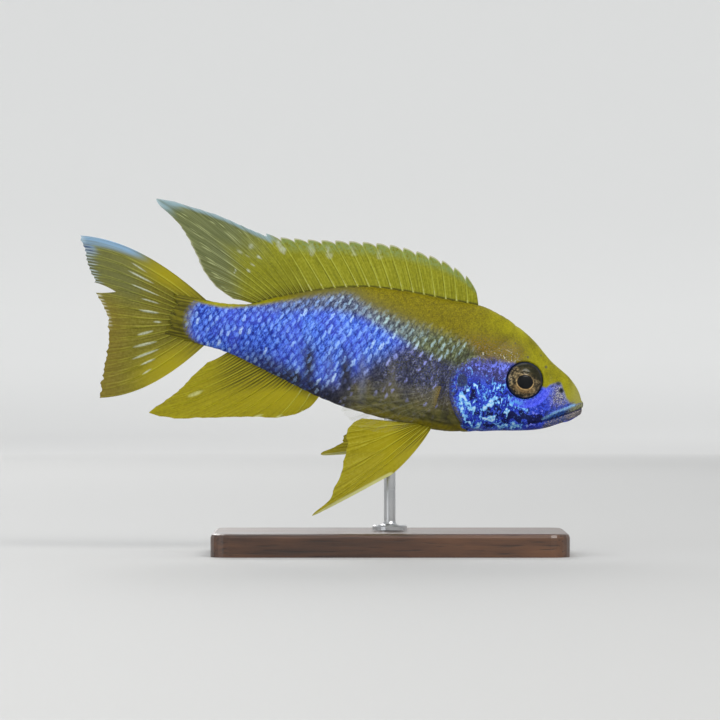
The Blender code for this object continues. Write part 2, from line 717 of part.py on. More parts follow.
def make_materials():
    made = {}
    for name, (colour, roughness, metallic) in COLOURS.items():
        material = bpy.data.materials.new(name)
        material.use_nodes = True
        shader = material.node_tree.nodes["Principled BSDF"]
        shader.inputs["Base Color"].default_value = (*colour, 1)
        shader.inputs["Roughness"].default_value = roughness
        shader.inputs["Metallic"].default_value = metallic
        made[name] = material
    return made


def fish_pose():
    """An empty at the tip of the snout, turned so that the rod's place on the belly is over the foot."""
    start, up = rod_line()
    pose = bpy.data.objects.new("fish_pose", None)
    model.objects.link(pose)
    pose.rotation_euler = (0, NOSE_DOWN, 0)
    bpy.context.view_layer.update()
    turned = pose.matrix_world.to_3x3() @ start
    pose.location = (Vector((0, 0, BELLY_HEIGHT)) - turned) * MM
    return pose


for old in list(bpy.data.objects):
    bpy.data.objects.remove(old)
model = bpy.data.collections.new("peacock_cichlid")
bpy.context.scene.collection.children.link(model)
materials = make_materials()

fish = build_body() + build_fins()
stand = [stand_base(), stand_rod()]
pose = fish_pose()
for obj in fish:
    swing(obj)
    obj.parent = pose
for obj in fish + stand:
    to_metres(obj)
    shade(obj)
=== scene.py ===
import json
import math

import bpy
import numpy as np
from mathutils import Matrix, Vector

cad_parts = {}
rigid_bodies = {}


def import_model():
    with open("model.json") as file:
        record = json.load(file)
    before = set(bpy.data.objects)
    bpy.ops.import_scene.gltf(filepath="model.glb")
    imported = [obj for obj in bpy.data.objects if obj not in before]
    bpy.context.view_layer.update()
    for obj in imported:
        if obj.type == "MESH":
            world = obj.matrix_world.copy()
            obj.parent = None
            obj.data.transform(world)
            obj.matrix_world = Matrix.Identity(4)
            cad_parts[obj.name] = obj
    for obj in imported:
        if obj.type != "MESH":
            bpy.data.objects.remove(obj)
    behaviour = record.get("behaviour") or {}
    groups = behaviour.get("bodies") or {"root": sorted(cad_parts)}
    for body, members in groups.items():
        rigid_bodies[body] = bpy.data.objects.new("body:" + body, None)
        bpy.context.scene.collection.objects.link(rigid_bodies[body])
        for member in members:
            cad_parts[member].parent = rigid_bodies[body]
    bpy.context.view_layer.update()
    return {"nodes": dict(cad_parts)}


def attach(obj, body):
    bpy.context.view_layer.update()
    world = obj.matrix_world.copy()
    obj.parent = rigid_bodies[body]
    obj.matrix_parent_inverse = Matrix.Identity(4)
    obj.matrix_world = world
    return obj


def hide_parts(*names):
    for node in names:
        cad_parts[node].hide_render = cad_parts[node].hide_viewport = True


for old in list(bpy.data.objects):
    bpy.data.objects.remove(old)
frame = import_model()
print("frame loaded:", len(frame["nodes"]), "nodes")

mm = 0.001
random = np.random.default_rng(12)


# Where the fish is
pose = {
    "noseDown": math.radians(12.25),
    "tailSwing": 6,  # the tip of the tail has swung this far to the fish's left
    "swingFrom": 45,
    "swingTo": 137,
    "rodAt": 48,
    "bellyHeight": 35,
}

outline = {
    "back": [
        (-1, -0.9), (0, 0.7), (1, 2.7), (2, 4.1), (3.5, 5.6), (5, 6.8), (7.5, 8.2), (10, 9.6), (12.5, 11.5),
        (15, 13.5), (17.5, 15.1), (20, 16.4), (25, 18.4), (31.5, 19.8), (40, 19.6), (50, 19.4), (60, 18.5),
        (65, 17.4), (70, 16), (75, 14.2), (80, 12.2), (85, 10), (90, 7.5), (95, 6.5), (100, 6.1),
        (106, 6.3), (112, 7.6),
    ],
    "belly": [
        (-1, -1.2), (0, -1.9), (1, -3.3), (2.5, -4.6), (5, -5.7), (7.5, -7.1), (10, -8.4), (15, -9.8),
        (20, -10.9), (25, -12.2), (30, -13.3), (37, -14), (50, -13.9), (60, -13.2), (67, -12.1),
        (75, -10.1), (85, -7.6), (93, -5.8), (100, -5.3), (106, -5.1), (112, -5.9),
    ],
    "halfWidth": [
        (-1, 0.5), (0, 1.1), (1, 2.1), (3, 3.3), (6, 4.5), (10, 5.6), (16, 6.7), (22, 7.5), (30, 8.2),
        (38, 8.4), (50, 8), (60, 7.2), (70, 6), (80, 4.7), (90, 3.4), (98, 2.4), (106, 1.25), (112, 0.3),
    ],
    "widestAt": [(0, -0.9), (6, -2.2), (16, -2.4), (26, -1.4), (38, 0), (50, 0.8), (70, 1.2), (106, 0.5)],
    "backRidge": [(0, 0.85), (16, 0.9), (32, 1.1), (60, 1.15), (106, 1)],  # over 1 is sharper
    "bellyRidge": [(0, 0.55), (5, 0.6), (12, 0.8), (20, 0.9), (36, 0.8), (60, 0.9), (106, 1)],
}


def curve(points):
    # a smooth line through the points that never overshoots, for single numbers and arrays
    at, value = np.array(points, float).T
    step = np.diff(at)
    slope = np.diff(value) / step
    lean = np.zeros_like(at)
    lean[0], lean[-1] = slope[0], slope[-1]
    for i in range(1, len(at) - 1):
        if slope[i - 1] * slope[i] > 0:
            a, b = 2 * step[i] + step[i - 1], step[i] + 2 * step[i - 1]
            lean[i] = (a + b) / (a / slope[i - 1] + b / slope[i])

    def along(x):
        x = np.clip(np.asarray(x, float), at[0], at[-1])
        i = np.clip(np.searchsorted(at, x) - 1, 0, len(step) - 1)
        t = (x - at[i]) / step[i]
        rise = t * t * (3 - 2 * t)
        bend = t * (1 - t) * step[i] * ((1 - t) * lean[i] - t * lean[i + 1])
        return value[i] * (1 - rise) + value[i + 1] * rise + bend

    return along


backAt, bellyAt, halfWidthAt, widestAt, backRidge, bellyRidge = (curve(line) for line in outline.values())


def ramp(low, high, x):
    # 0 below low and 1 above high, eased; the other way round if low is the larger
    t = np.clip((x - low) / (high - low), 0, 1)
    return t * t * (3 - 2 * t)


def hill(x, middle, width):
    return np.exp(-(((x - middle) / width) ** 2))


def outlineAt(s, up):
    # the height of the widest line, the way from it to the outline, and the outline's sharpness there
    middle = widestAt(s)
    reach = np.where(up, backAt(s) - middle, middle - bellyAt(s))
    return middle, reach, np.where(up, backRidge(s), bellyRidge(s))


def sideAt(s, z):
    middle, reach, ridge = outlineAt(s, z > widestAt(s))
    return halfWidthAt(s) * np.clip(1 - ((z - middle) / reach) ** 2, 0, 1) ** (ridge / 2)


def underAt(s, y):
    middle = widestAt(s)
    across = np.minimum(np.abs(y) / halfWidthAt(s), 1)
    return middle - (middle - bellyAt(s)) * np.sqrt(1 - across ** (2 / bellyRidge(s)))


def place(points):
    # (s, y, z) in the straight frame to the model's place in metres
    s, y, z = np.moveaxis(np.asarray(points, float), -1, 0)
    share = np.maximum(0, (s - pose["swingFrom"]) / (pose["swingTo"] - pose["swingFrom"]))
    y = y + pose["tailSwing"] * share**2
    c, n = math.cos(pose["noseDown"]), math.sin(pose["noseDown"])
    rodS, rodZ = pose["rodAt"], float(bellyAt(pose["rodAt"]))
    x = (rodS - s) * c + (z - rodZ) * n
    up = (s - rodS) * n + (z - rodZ) * c + pose["bellyHeight"]
    return np.stack([x, y, up], -1) * mm


# The round-the-body table: for each station, the angle at even shares of the half girth
tableStep = 0.25
tableS = np.arange(-0.5, 112.01, tableStep)
tableShare = np.linspace(0, 1, 161)
fineTurn = np.linspace(-math.pi / 2, math.pi / 2, 721)


def ringAt(s, turn):
    # y and z of the left half of the body's outline at an angle up from its widest line
    middle, reach, ridge = outlineAt(s, turn > 0)
    y = halfWidthAt(s) * np.clip(np.cos(turn), 0, 1) ** ridge
    return y, middle + reach * np.sin(turn)


def girthTable():
    y, z = ringAt(tableS[:, None], fineTurn[None, :])
    length = np.cumsum(np.hypot(np.diff(y), np.diff(z)), axis=1)
    length = np.hstack([np.zeros((len(tableS), 1)), length])
    turns = [np.interp(tableShare, row / row[-1], fineTurn) for row in length]
    return np.array(turns), length[:, -1]


turnTable, girthAt = girthTable()


def halfGirth(s):
    return np.interp(s, tableS, girthAt)


def bodyPoint(s, c):
    # c is 0 along the back and runs to 1 at the belly on the left side and to -1 on the right
    c = (np.asarray(c, float) + 1) % 2 - 1
    s = np.asarray(s, float)
    fs = np.clip((s - tableS[0]) / tableStep, 0, len(tableS) - 1.001)
    fc = (1 - np.abs(c)) * (len(tableShare) - 1.001)
    i, j = fs.astype(int), fc.astype(int)
    u, v = fs - i, fc - j
    low = turnTable[i, j] * (1 - v) + turnTable[i, j + 1] * v
    high = turnTable[i + 1, j] * (1 - v) + turnTable[i + 1, j + 1] * v
    y, z = ringAt(s, low * (1 - u) + high * u)
    s, y, z = np.broadcast_arrays(s, np.where(c < 0, -y, y), z)
    return np.stack([s, y, z], -1)


def unit(vectors):
    return vectors / np.maximum(np.linalg.norm(vectors, axis=-1, keepdims=True), 1e-9)


def bodyNormal(s, c):
    along = bodyPoint(s + 0.2, c) - bodyPoint(s - 0.2, c)
    around = bodyPoint(s, c + 0.006) - bodyPoint(s, c - 0.006)
    return unit(np.cross(along, around))


# The landmarks of the head
head = {
    "eye": (16, 3.4),
    "end": 38,  # no marking of the head shows behind this
    "eyeRadius": 5.1,
    "eyeHalfDepth": 2.7,
    "eyeSunk": 1.4,
    "eyeTurn": math.radians(9),
    "eyeTilt": math.radians(7),
    "mouthFront": -0.75,
    "mouthSlope": -0.6,
    "mouthCorner": 8.8,
    "nostril": (6.2, 2.8),
    "nostrilSpots": [(7.3, 4.4, 0.8, 1.3), (6.1, 2.7, 0.75, 1)],  # place, radius and how flat it is
    "arcRadius": 6.25,
    # place and radius of the dark pores
    "pores": [
        (16.5, 9.4, 0.34), (11.3, 7.9, 0.4), (24.2, 15.1, 0.34), (13.2, 10.6, 0.24), (20.4, 12.2, 0.26),
    ],
    "gillCover": [
        (24, -10.8), (22.6, -7.5), (23.6, -3), (23.8, 2), (25.5, 5.8), (29, 7.3), (32.8, 5), (35, 0.8),
        (34.6, -3.6), (32.6, -8), (29.4, -11.2), (26.4, -11.9),
    ],
    "cheekGroove": [(24.6, 7), (23.4, 3), (22.8, -2), (22, -6), (19.2, -8.6), (14.5, -9)],
}


def passing(a, b, c, d, t):
    # the Catmull-Rom line from b to c, at the share t of the way
    return 0.5 * (2 * b + (c - a) * t + (2 * a - 5 * b + 4 * c - d) * t**2 + (3 * b - a - 3 * c + d) * t**3)


def rounded(points, closed=False, steps=10):
    # a smooth line through the points
    p = np.array(points, float)
    if closed:
        p = np.vstack([p[-1], p, p[:2]])
    else:
        p = np.vstack([2 * p[0] - p[1], p, 2 * p[-1] - p[-2]])
    t = np.linspace(0, 1, steps, endpoint=False)[:, None]
    line = [passing(*four, t) for four in zip(p, p[1:], p[2:], p[3:])]
    return np.vstack(line + ([] if closed else [p[-2:-1]]))


def lineDistance(s, z, line, closed=False):
    # distance to a line of points, and the share of the line's length where it is nearest
    a = line
    b = np.roll(line, -1, 0) if closed else line[1:]
    a = a[:len(b)]
    best = np.full(np.shape(s), 1e9)
    where = np.zeros(np.shape(s))
    for k in range(len(b)):
        d = b[k] - a[k]
        t = np.clip(((s - a[k, 0]) * d[0] + (z - a[k, 1]) * d[1]) / (d @ d), 0, 1)
        far = np.hypot(s - a[k, 0] - t * d[0], z - a[k, 1] - t * d[1])
        closer = far < best
        best = np.where(closer, far, best)
        where = np.where(closer, (k + t) / len(b), where)
    return best, where


def insideOf(s, z, line):
    crossings = np.zeros(np.shape(s), bool)
    for (s1, z1), (s2, z2) in zip(line, np.roll(line, -1, 0)):
        between = (z1 > z) != (z2 > z)
        with np.errstate(divide="ignore", invalid="ignore"):
            crossings ^= between & (s < (s2 - s1) * (z - z1) / (z2 - z1) + s1)
    return crossings


coverLine = rounded(head["gillCover"], closed=True)
cheekLine = rounded(head["cheekGroove"])


def coverDepth(s, z):
    # distance inside the gill cover's edge, below 0 outside it
    near = (s > 18) & (s < 40) & (z > -16) & (z < 12)
    depth = np.full(np.shape(s), -9.0)
    far, _ = lineDistance(s[near], z[near], coverLine, closed=True)
    depth[near] = np.where(insideOf(s[near], z[near], coverLine), far, -far)
    return depth


def mouthOffset(s, z):
    # distance above the line of the mouth
    slope = head["mouthSlope"]
    return (z - head["mouthFront"] - slope * s) / math.hypot(1, slope)


# Markings, shared by the skin and the scales
marks = {
    "goldEdge": [
        (-1, 0.9), (0.3, 0.5), (2.6, -0.3), (4.1, 0.4), (5.4, 2.3), (6.8, 4.1), (8.9, 3.7), (10.4, 2.4),
        (13, 3.4), (17, 5.4), (19.5, 6.8), (22, 6.7), (24, 7.1), (27.5, 6.6), (30, 7.6), (33, 9.4),
        (37, 10.3), (43, 11), (54, 12.2), (60, 13.6), (65.5, 15.3), (70, 14.2), (74, 12.8), (80, 10.5),
        (88, 7.5), (94, 5.6), (98, 5), (104, 5),
    ],
    "goldSoft": [
        (0, 0.5), (2.4, 0.5), (4, 1), (7, 1), (9.4, 0.5), (17, 0.6), (21, 1.1), (25, 1.8), (30, 2.1),
        (40, 2.3), (58, 1.9), (70, 1.3), (85, 0.7), (104, 0.5),
    ],
    "mistEdge": [
        (26, 3.5), (38, 4.4), (47, 6.6), (55, 9.1), (62, 10.8), (67, 11), (74, 9.8), (80, 8.2), (90, 6.2),
    ],
    "mistFade": [(26, 0), (31, 1), (56, 1), (66, 1), (78, 0.85), (85, 0.5), (94, 0)],
    "turn": [(-12, 67), (-7, 62.5), (-3, 58), (0, 55), (3, 52), (6.7, 47), (12, 40)],
    "faceTop": [(0, 9), (19, 9), (21, 6.8), (24, 7), (27.5, 6.2), (31, 6.6), (33.5, 5), (36, 1)],
    # station, half width and depth of the dark bars of the flank, below 0 for the pale ones between them
    "bars": [
        (46.7, 1.5, 0.7), (50.3, 1.2, -0.6), (54.6, 1.6, 0.9), (58.2, 1.3, -0.8), (62.5, 1.9, 1.1),
        (66.8, 1.5, -0.5), (72.4, 1.9, 1),
    ],
    "scaleStart": [
        (-15, 28), (-12, 30), (-9, 33.2), (-5, 34.9), (-1, 35.4), (3, 34.6), (6, 32), (8, 28.6), (9.5, 25),
        (12, 22), (16, 20.5), (22, 20),
    ],
    "tailEnd": [
        (-9, 97), (-5.6, 99.8), (-4.4, 102.6), (-2, 104.6), (1, 105.2), (4, 104.4), (6.1, 103), (9, 101),
    ],
    # strokes of the face, from and to in s and z, half width and strength
    "glow": [
        (31.3, -3.9, 27.2, -7.3, 0.5, 1), (31.2, -5.5, 30.2, -8, 0.4, 0.9), (28.6, -6, 28, -7.2, 0.3, 0.9),
        (29.6, -8.8, 28.9, -10, 0.4, 0.9), (28.9, -10, 27.4, -11, 0.4, 0.9),
        (27.4, -11, 25.6, -11.2, 0.4, 0.9), (25.6, -11.2, 24.8, -9.9, 0.34, 0.85),
        (24.4, -5.9, 23.2, -3.5, 0.65, 1.1), (22.1, -3.3, 22, -3.6, 0.34, 1),
        (24, -8.7, 21.6, -7.7, 0.5, 1.1), (21.6, -7.7, 21.1, -9.5, 0.2, 0.9),
        (20.8, -4.9, 20.6, -2.2, 0.3, 0.95), (19, -4.6, 18.6, -6.6, 0.36, 1.2),
        (20.3, -9.6, 17.8, -9.3, 0.55, 0.72), (16.6, -8.8, 14.9, -8.6, 0.55, 0.75),
        (18.6, -2.6, 17.4, -3.4, 0.6, 0.85), (16.9, -3.5, 15.6, -3.5, 0.4, 0.7),
        (25.5, -5.8, 25.6, -8.4, 0.26, 0.9), (25.3, -3.3, 25.3, -3.5, 0.3, 1),
        (26.5, -3.5, 26.5, -3.7, 0.25, 0.85), (27.3, -1.2, 27.1, -2.3, 0.3, 0.85),
        (29.8, -1.6, 29.7, -1.9, 0.32, 0.9), (28.4, -0.6, 28, -1, 0.38, 0.9),
        (24.3, 1.6, 23.8, 0.9, 0.35, 0.85), (23.6, 0.3, 23.4, -0.9, 0.26, 0.9),
        (22.4, 0.3, 21.2, 0.8, 0.5, 0.7), (27.5, -4.2, 27.4, -5.5, 0.3, 0.9),
        (15, -3.9, 14, -4.1, 0.4, 0.7), (11.9, -4.5, 10.3, -4.1, 0.3, 0.7),
        (10.4, -3.2, 10, -3.2, 0.3, 0.65), (12.6, -7.6, 10.8, -7.2, 0.24, 0.75),
        (24.9, 5.4, 21.5, 5.7, 0.8, 0.62), (30.4, 3.4, 30.3, 3.2, 0.3, 0.85),
        (28.2, 3.4, 28, 3.2, 0.25, 0.8), (26.4, 3.6, 26.2, 3.8, 0.3, 0.75), (29, 4.9, 28.6, 4.7, 0.3, 0.75),
    ],
    "night": [
        (18.4, -6.3, 10.6, -5.9, 1, 1.4), (28.9, -3.1, 27.2, -3.3, 0.8, 0.9), (24, -6.5, 23, -7.1, 0.8, 1),
        (21.6, -3.8, 21.2, -6.4, 0.5, 0.8), (22, -0.9, 19.4, -0.7, 0.5, 0.8),
        (23.4, -9.9, 22, -9.8, 0.7, 1), (26.4, -9.4, 26.3, -7.4, 0.5, 0.6),
        (19.9, -7.6, 18, -7.9, 0.5, 0.9), (25.3, 1.4, 25.5, -0.8, 0.5, 0.6), (2, -5.2, 9, -8.3, 0.6, 1.6),
        (20.6, 2.6, 19, 4.8, 0.4, 0.7), (24.4, 3.4, 22.6, 2.2, 0.6, 0.8),
    ],
    # the line of the painted highlight along the upper lip
    "lipHighlightLine": [(1.4, 0.1), (2.6, -0.5), (6.3, -2.9), (9.4, -5.5)],
    "gillSpot": (31.9, -0.1),
}
goldEdge, goldSoft, faceTop = (curve(marks[k]) for k in ("goldEdge", "goldSoft", "faceTop"))
mistEdge, mistFade, turnAt = (curve(marks[k]) for k in ("mistEdge", "mistFade", "turn"))
scaleStart, tailEnd = curve(marks["scaleStart"]), curve(marks["tailEnd"])


def ripple(s, z, length, seed):
    # smooth waves in all directions, from about -1 to 1
    shake = np.random.default_rng(seed)
    total = 0
    for turn, stretch, phase in shake.uniform((0, 0.6, 0), (2 * math.pi, 1.6, 2 * math.pi), (7, 3)):
        along = s * math.cos(turn) + z * math.sin(turn)
        total = total + np.sin(along * 2 * math.pi / (length * stretch) + phase)
    return total / 3


def strokeField(s, z, strokes, bend=0):
    # above 0 near the strokes, highest along their middles
    s, z = s + bend * ripple(s, z, 2.1, 3), z + bend * ripple(s, z, 2.1, 4)
    field = np.zeros(np.shape(s))
    for s1, z1, s2, z2, half, strength in strokes:
        far, _ = lineDistance(s, z, np.array([(s1, z1), (s2, z2)]))
        field = np.maximum(field, strength * np.clip(1.45 - far / half, 0, 1))
    return field


def frontOrCover(s, z):
    # above 0 on the gill cover and on all of the head in front of its rear edge
    ahead = ramp(31, 29, s) * ramp(-13.5, -12.5, z - 0.35 * (s - 27) * (s > 27)) * 2 - 1
    return np.maximum(coverDepth(s, z), np.where(s < 26, 2, ahead * 2))


def markings(p):
    # how strongly each marking shows at points (s, y, z) of the straight frame
    s, y, z = np.moveaxis(p, -1, 0)
    edge, soft, low = goldEdge(s), goldSoft(s), z - bellyAt(s)
    tailBase = ramp(-2.2, 1.4, s - tailEnd(z))
    gold = np.maximum(ramp(edge - soft, edge + soft, z), tailBase)
    rosy = ramp(40, 58, s) * ramp(84, 74, s) * gold * ramp(edge + 5, edge - 1, z)
    mist = mistFade(s) * ramp(mistEdge(s) - 2, mistEdge(s) + 1, z)
    # the front of the flank is smoky, and the blue comes in on a slanting line behind it
    turn = turnAt(z)
    smoky = ramp(turn + 5, turn - 5, s) * ramp(20, 24, s)
    bars = sum(depth * hill(s - 0.2 * z, at, half) for at, half, depth in marks["bars"])
    bars = np.clip(bars, -1, 1) * ramp(4, -3, z) * ramp(0.2, 2, low)
    lowEdge = ramp(54, 60, s) * ramp(94, 78, s) * ramp(5.6, 1.8, low)
    belly = ramp(-6.5, -10, z) * ramp(22, 30, s) * ramp(62, 52, s)
    keel = ramp(2.4, 0.9, low) * ramp(18, 26, s) * ramp(62, 50, s)
    top = faceTop(s)
    face = ramp(top + 2.2, top - 1.8, z) * ramp(-0.2, 2, frontOrCover(s, z))
    mouth = mouthOffset(s, z)
    corner = ramp(head["mouthCorner"] + 1, head["mouthCorner"] - 1.2, s)
    near = s < head["end"]
    onHead = ("glow", "night", "arc", "stripe", "dark", "pale", "coverEdge")
    values = {key: np.zeros(s.shape) for key in onHead}
    sn, zn = s[near], z[near]
    values["glow"][near] = strokeField(sn, zn, marks["glow"], 0.42) * (1 + 0.35 * ripple(sn, zn, 1.5, 5))
    values["night"][near] = strokeField(sn, zn, marks["night"], 0.7)
    # the smooth bright band round the front and underside of the eye
    ex, ez = head["eye"]
    far, turned = np.hypot(sn - ex, zn - ez), np.degrees(np.arctan2(zn - ez, ex - sn))
    arc = ramp(1.25, 0.55, np.abs(far - head["arcRadius"])) * ramp(-2, -14, turned)
    values["arc"][near] = arc * ramp(-128, -104, turned)
    # a pale band along the top of the upper lip: a painted highlight
    stripe, share = lineDistance(sn, zn, np.array(marks["lipHighlightLine"]))
    stripe = ramp(0.46, 0.14, stripe + 0.1 * ripple(sn, zn, 1.4, 8))
    values["stripe"][near] = stripe * ramp(0, 0.2, share) * (1 - 0.55 * share)
    spotS, spotZ = marks["gillSpot"]
    spot = np.hypot((sn - spotS) / 1.35, (zn - spotZ) / 1.85) + 0.12 * ripple(sn, zn, 1.6, 6)
    pores = 0
    for pitS, pitZ, radius, flat in head["nostrilSpots"]:
        pores = pores + ramp(radius, 0.35, np.hypot(sn - pitS, (zn - pitZ) * flat))
    for poreS, poreZ, radius in head["pores"]:
        pores = pores + 0.75 * ramp(1.4, 0.5, np.hypot(sn - poreS, zn - poreZ) / radius)
    values["dark"][near] = np.clip(ramp(1.2, 0.85, spot) * 0.9 + pores, 0, 1)
    under = 0.4 * hill(spot, 1.3, 0.14) * ramp(-0.4, -1.2, zn)
    values["pale"][near] = np.clip(1.25 * hill(sn, 6.1, 2.2) * hill(zn, 2, 2.9), 0, 1) + under
    depth = coverDepth(sn, zn)
    edge = ramp(0, 0.1, depth) * ramp(0.55, 0.3, depth)
    values["coverEdge"][near] = edge * ramp(24, 27, sn) * ramp(2, -1.5, zn)
    # a dark band along the groove above the upper lip: painted shade
    groove = hill(mouth, 2.1, 0.4) * corner * ramp(1.5, 3.5, s)
    values["coverEdge"] = values["coverEdge"] + 1.3 * groove
    return {
        "fishPos": np.stack([s, y, z], -1), "gold": gold, "rosy": rosy, "mist": mist, "smoky": smoky,
        "bars": bars, "lowEdge": lowEdge, "belly": belly, "keel": keel, "face": face, "tailBase": tailBase,
        "upperLip": ramp(-0.05, 0.12, mouth) * ramp(1.9, 1.2, mouth) * corner,
        "lowerLip": ramp(0.05, -0.12, mouth) * ramp(-1.75, -1.3, mouth) * corner, **values,
    }


def addPiece(name, points, faces, values, bakeMap, material, replaces=(), sharp=None):
    # points in the straight frame; faces is a list of arrays with 3 or 4 corners each
    mesh = bpy.data.meshes.new(name)
    mesh.vertices.add(len(points))
    mesh.vertices.foreach_set("co", place(points).astype(np.float32).ravel())
    corners = np.concatenate([f.ravel() for f in faces])
    sizes = np.concatenate([np.full(len(f), f.shape[1]) for f in faces])
    mesh.loops.add(len(corners))
    mesh.loops.foreach_set("vertex_index", corners.astype(np.int32))
    mesh.polygons.add(len(sizes))
    starts = np.concatenate([[0], np.cumsum(sizes)[:-1]])
    mesh.polygons.foreach_set("loop_start", starts.astype(np.int32))
    mesh.update(calc_edges=True)
    for key, value in values.items():
        kind, field = ("FLOAT_VECTOR", "vector") if value.ndim == 2 else ("FLOAT", "value")
        mesh.attributes.new(key, kind, "POINT").data.foreach_set(field, value.astype(np.float32).ravel())
    layer = mesh.uv_layers.new(name="OFBake")
    uv = np.concatenate([m.reshape(-1, 2) for m in bakeMap])
    layer.data.foreach_set("uv", uv.astype(np.float32).ravel())
    mesh.shade_smooth()
    if sharp:
        mesh.set_sharp_from_angle(angle=math.radians(sharp))
    mesh.materials.append(material)
    piece = bpy.data.objects.new(name, mesh)
    bpy.context.scene.collection.objects.link(piece)
    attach(piece, "root")
    if replaces:
        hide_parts(*replaces)
    print(f"{name}: {int((sizes - 2).sum())} triangles")


def gridFaces(rows, columns, wrap=False):
    # quads of a grid of points kept row by row
    grid = np.arange(rows * columns).reshape(rows, columns)
    if wrap:
        grid = np.hstack([grid, grid[:, :1]])
    return np.stack([grid[:-1, :-1], grid[:-1, 1:], grid[1:, 1:], grid[1:, :-1]], -1).reshape(-1, 4)


def tubeFaces(rows, columns):
    # quads of a closed tube, and the triangles from its ends to the two points kept after its grid
    j = np.arange(columns)
    n = np.roll(j, -1)
    last = (rows - 1) * columns
    front = np.stack([np.full(columns, rows * columns), n, j], -1)
    rear = np.stack([np.full(columns, rows * columns + 1), last + j, last + n], -1)
    return [gridFaces(rows, columns, wrap=True), front, rear]


def mapPoints(u, v):
    return np.stack(np.broadcast_arrays(u, v), -1)


def linear(colour):
    # a screen colour from 0 to 255 as the linear one a shader takes; flows and linear colours pass
    if isinstance(colour, Flow) or len(colour) == 4:
        return colour
    c = np.array(colour) / 255
    return (*np.where(c <= 0.04045, c / 12.92, ((c + 0.055) / 1.055) ** 2.4), 1)


class Flow:
    # a socket that can be reckoned with: each operator adds a Math node behind it
    def __init__(self, tree, socket):
        self.tree, self.socket = tree, socket

    def node(self, kind, settings=None, values=None, out=0):
        made = self.tree.nodes.new(kind)
        for name, value in (settings or {}).items():
            if name == "stops":
                fillRamp(made.color_ramp, value)
            else:
                setattr(made, name, value)
        for name, value in (values or {}).items():
            if isinstance(value, Flow):
                self.tree.links.new(value.socket, made.inputs[name])
            else:
                made.inputs[name].default_value = value
        return Flow(self.tree, made.outputs[out])

    def calc(self, operation, *values):
        return self.node("ShaderNodeMath", {"operation": operation}, dict(enumerate(values)))

    def __add__(self, other):
        return self.calc("ADD", self, other)

    __radd__ = __add__

    def __mul__(self, other):
        return self.calc("MULTIPLY", self, other)

    __rmul__ = __mul__

    def __sub__(self, other):
        return self.calc("SUBTRACT", self, other)

    def __rsub__(self, other):
        return self.calc("SUBTRACT", other, self)

    def __truediv__(self, other):
        return self.calc("DIVIDE", self, other)

    def __pow__(self, power):
        return self.calc("POWER", self, power)

    def __abs__(self):
        return self.calc("ABSOLUTE", self)

    def most(self, other):
        return self.calc("MAXIMUM", self, other)

    def least(self, other):
        return self.calc("MINIMUM", self, other)

    def within(self, low, high):
        return self.least(high).most(low)

    def ease(self, low, high):
        # 0 below low and 1 above high, eased in between; the other way round if low is the larger
        return self.node("ShaderNodeMapRange", {"interpolation_type": "SMOOTHSTEP"},
                         {"Value": self, "From Min": low, "From Max": high})

    def tinted(self, other, share):
        # this colour, turned to another one by a share
        values = {0: share, 6: self, 7: linear(other)}
        return self.node("ShaderNodeMix", {"data_type": "RGBA"}, values, 2)

    def painted(self, *layers):
        # this colour under others, each given with its share
        colour = self
        for other, share in layers:
            colour = colour.tinted(other, share)
        return colour

    def grown(self, by):
        # a vector with each part multiplied
        return self.node("ShaderNodeVectorMath", {"operation": "MULTIPLY"}, {0: self, 1: by})

    def moved(self, by):
        return self.node("ShaderNodeVectorMath", {"operation": "ADD"}, {0: self, 1: by})

    def turned(self, angle):
        # a vector turned about the fish's sideways axis
        values = {"Vector": self, "Angle": angle}
        return self.node("ShaderNodeVectorRotate", {"rotation_type": "Y_AXIS"}, values)

    def part(self, axis):
        return self.node("ShaderNodeSeparateXYZ", {}, {0: self}, axis)

    def noise(self, scale, detail=3, rough=0.5, out=0):
        values = {"Vector": self, "Scale": scale, "Detail": detail, "Roughness": rough}
        return self.node("ShaderNodeTexNoise", {}, values, out)

    def cells(self, scale):
        return self.node("ShaderNodeTexVoronoi", {}, {"Vector": self, "Scale": scale})

    def stops(self, *stops):
        return self.node("ShaderNodeValToRGB", {"stops": stops}, {0: self})


def fillRamp(ramp, stops):
    while len(ramp.elements) < len(stops):
        ramp.elements.new(0.5)
    for element, (at, colour) in zip(ramp.elements, stops):
        element.position, element.color = at, linear(colour)


def reader(tree):
    # hands out flows: a number kept on the mesh, a vector with True, or the place on the object
    start = Flow(tree, None)

    def read(name, vector=False):
        if name == "object":
            return start.node("ShaderNodeTexCoord", {}, {}, 3)
        return start.node("ShaderNodeAttribute", {"attribute_name": name}, {}, 1 if vector else 2)

    return read


def finish(name, paint, **fixed):
    # a Principled material; paint gives what changes over the surface, fixed what doesn't
    made = bpy.data.materials.new(name)
    made.use_nodes = True
    tree = made.node_tree
    shader = tree.nodes["Principled BSDF"]
    for key, value in fixed.items():
        shader.inputs[key.replace("_", " ")].default_value = value
    for key, flow in paint(reader(tree)).items():
        if key == "Bump":
            height, strength, distance = flow
            values = {"Height": height, "Strength": strength, "Distance": distance}
            key, flow = "Normal", height.node("ShaderNodeBump", {}, values)
        tree.links.new(flow.socket, shader.inputs[key])
    return made


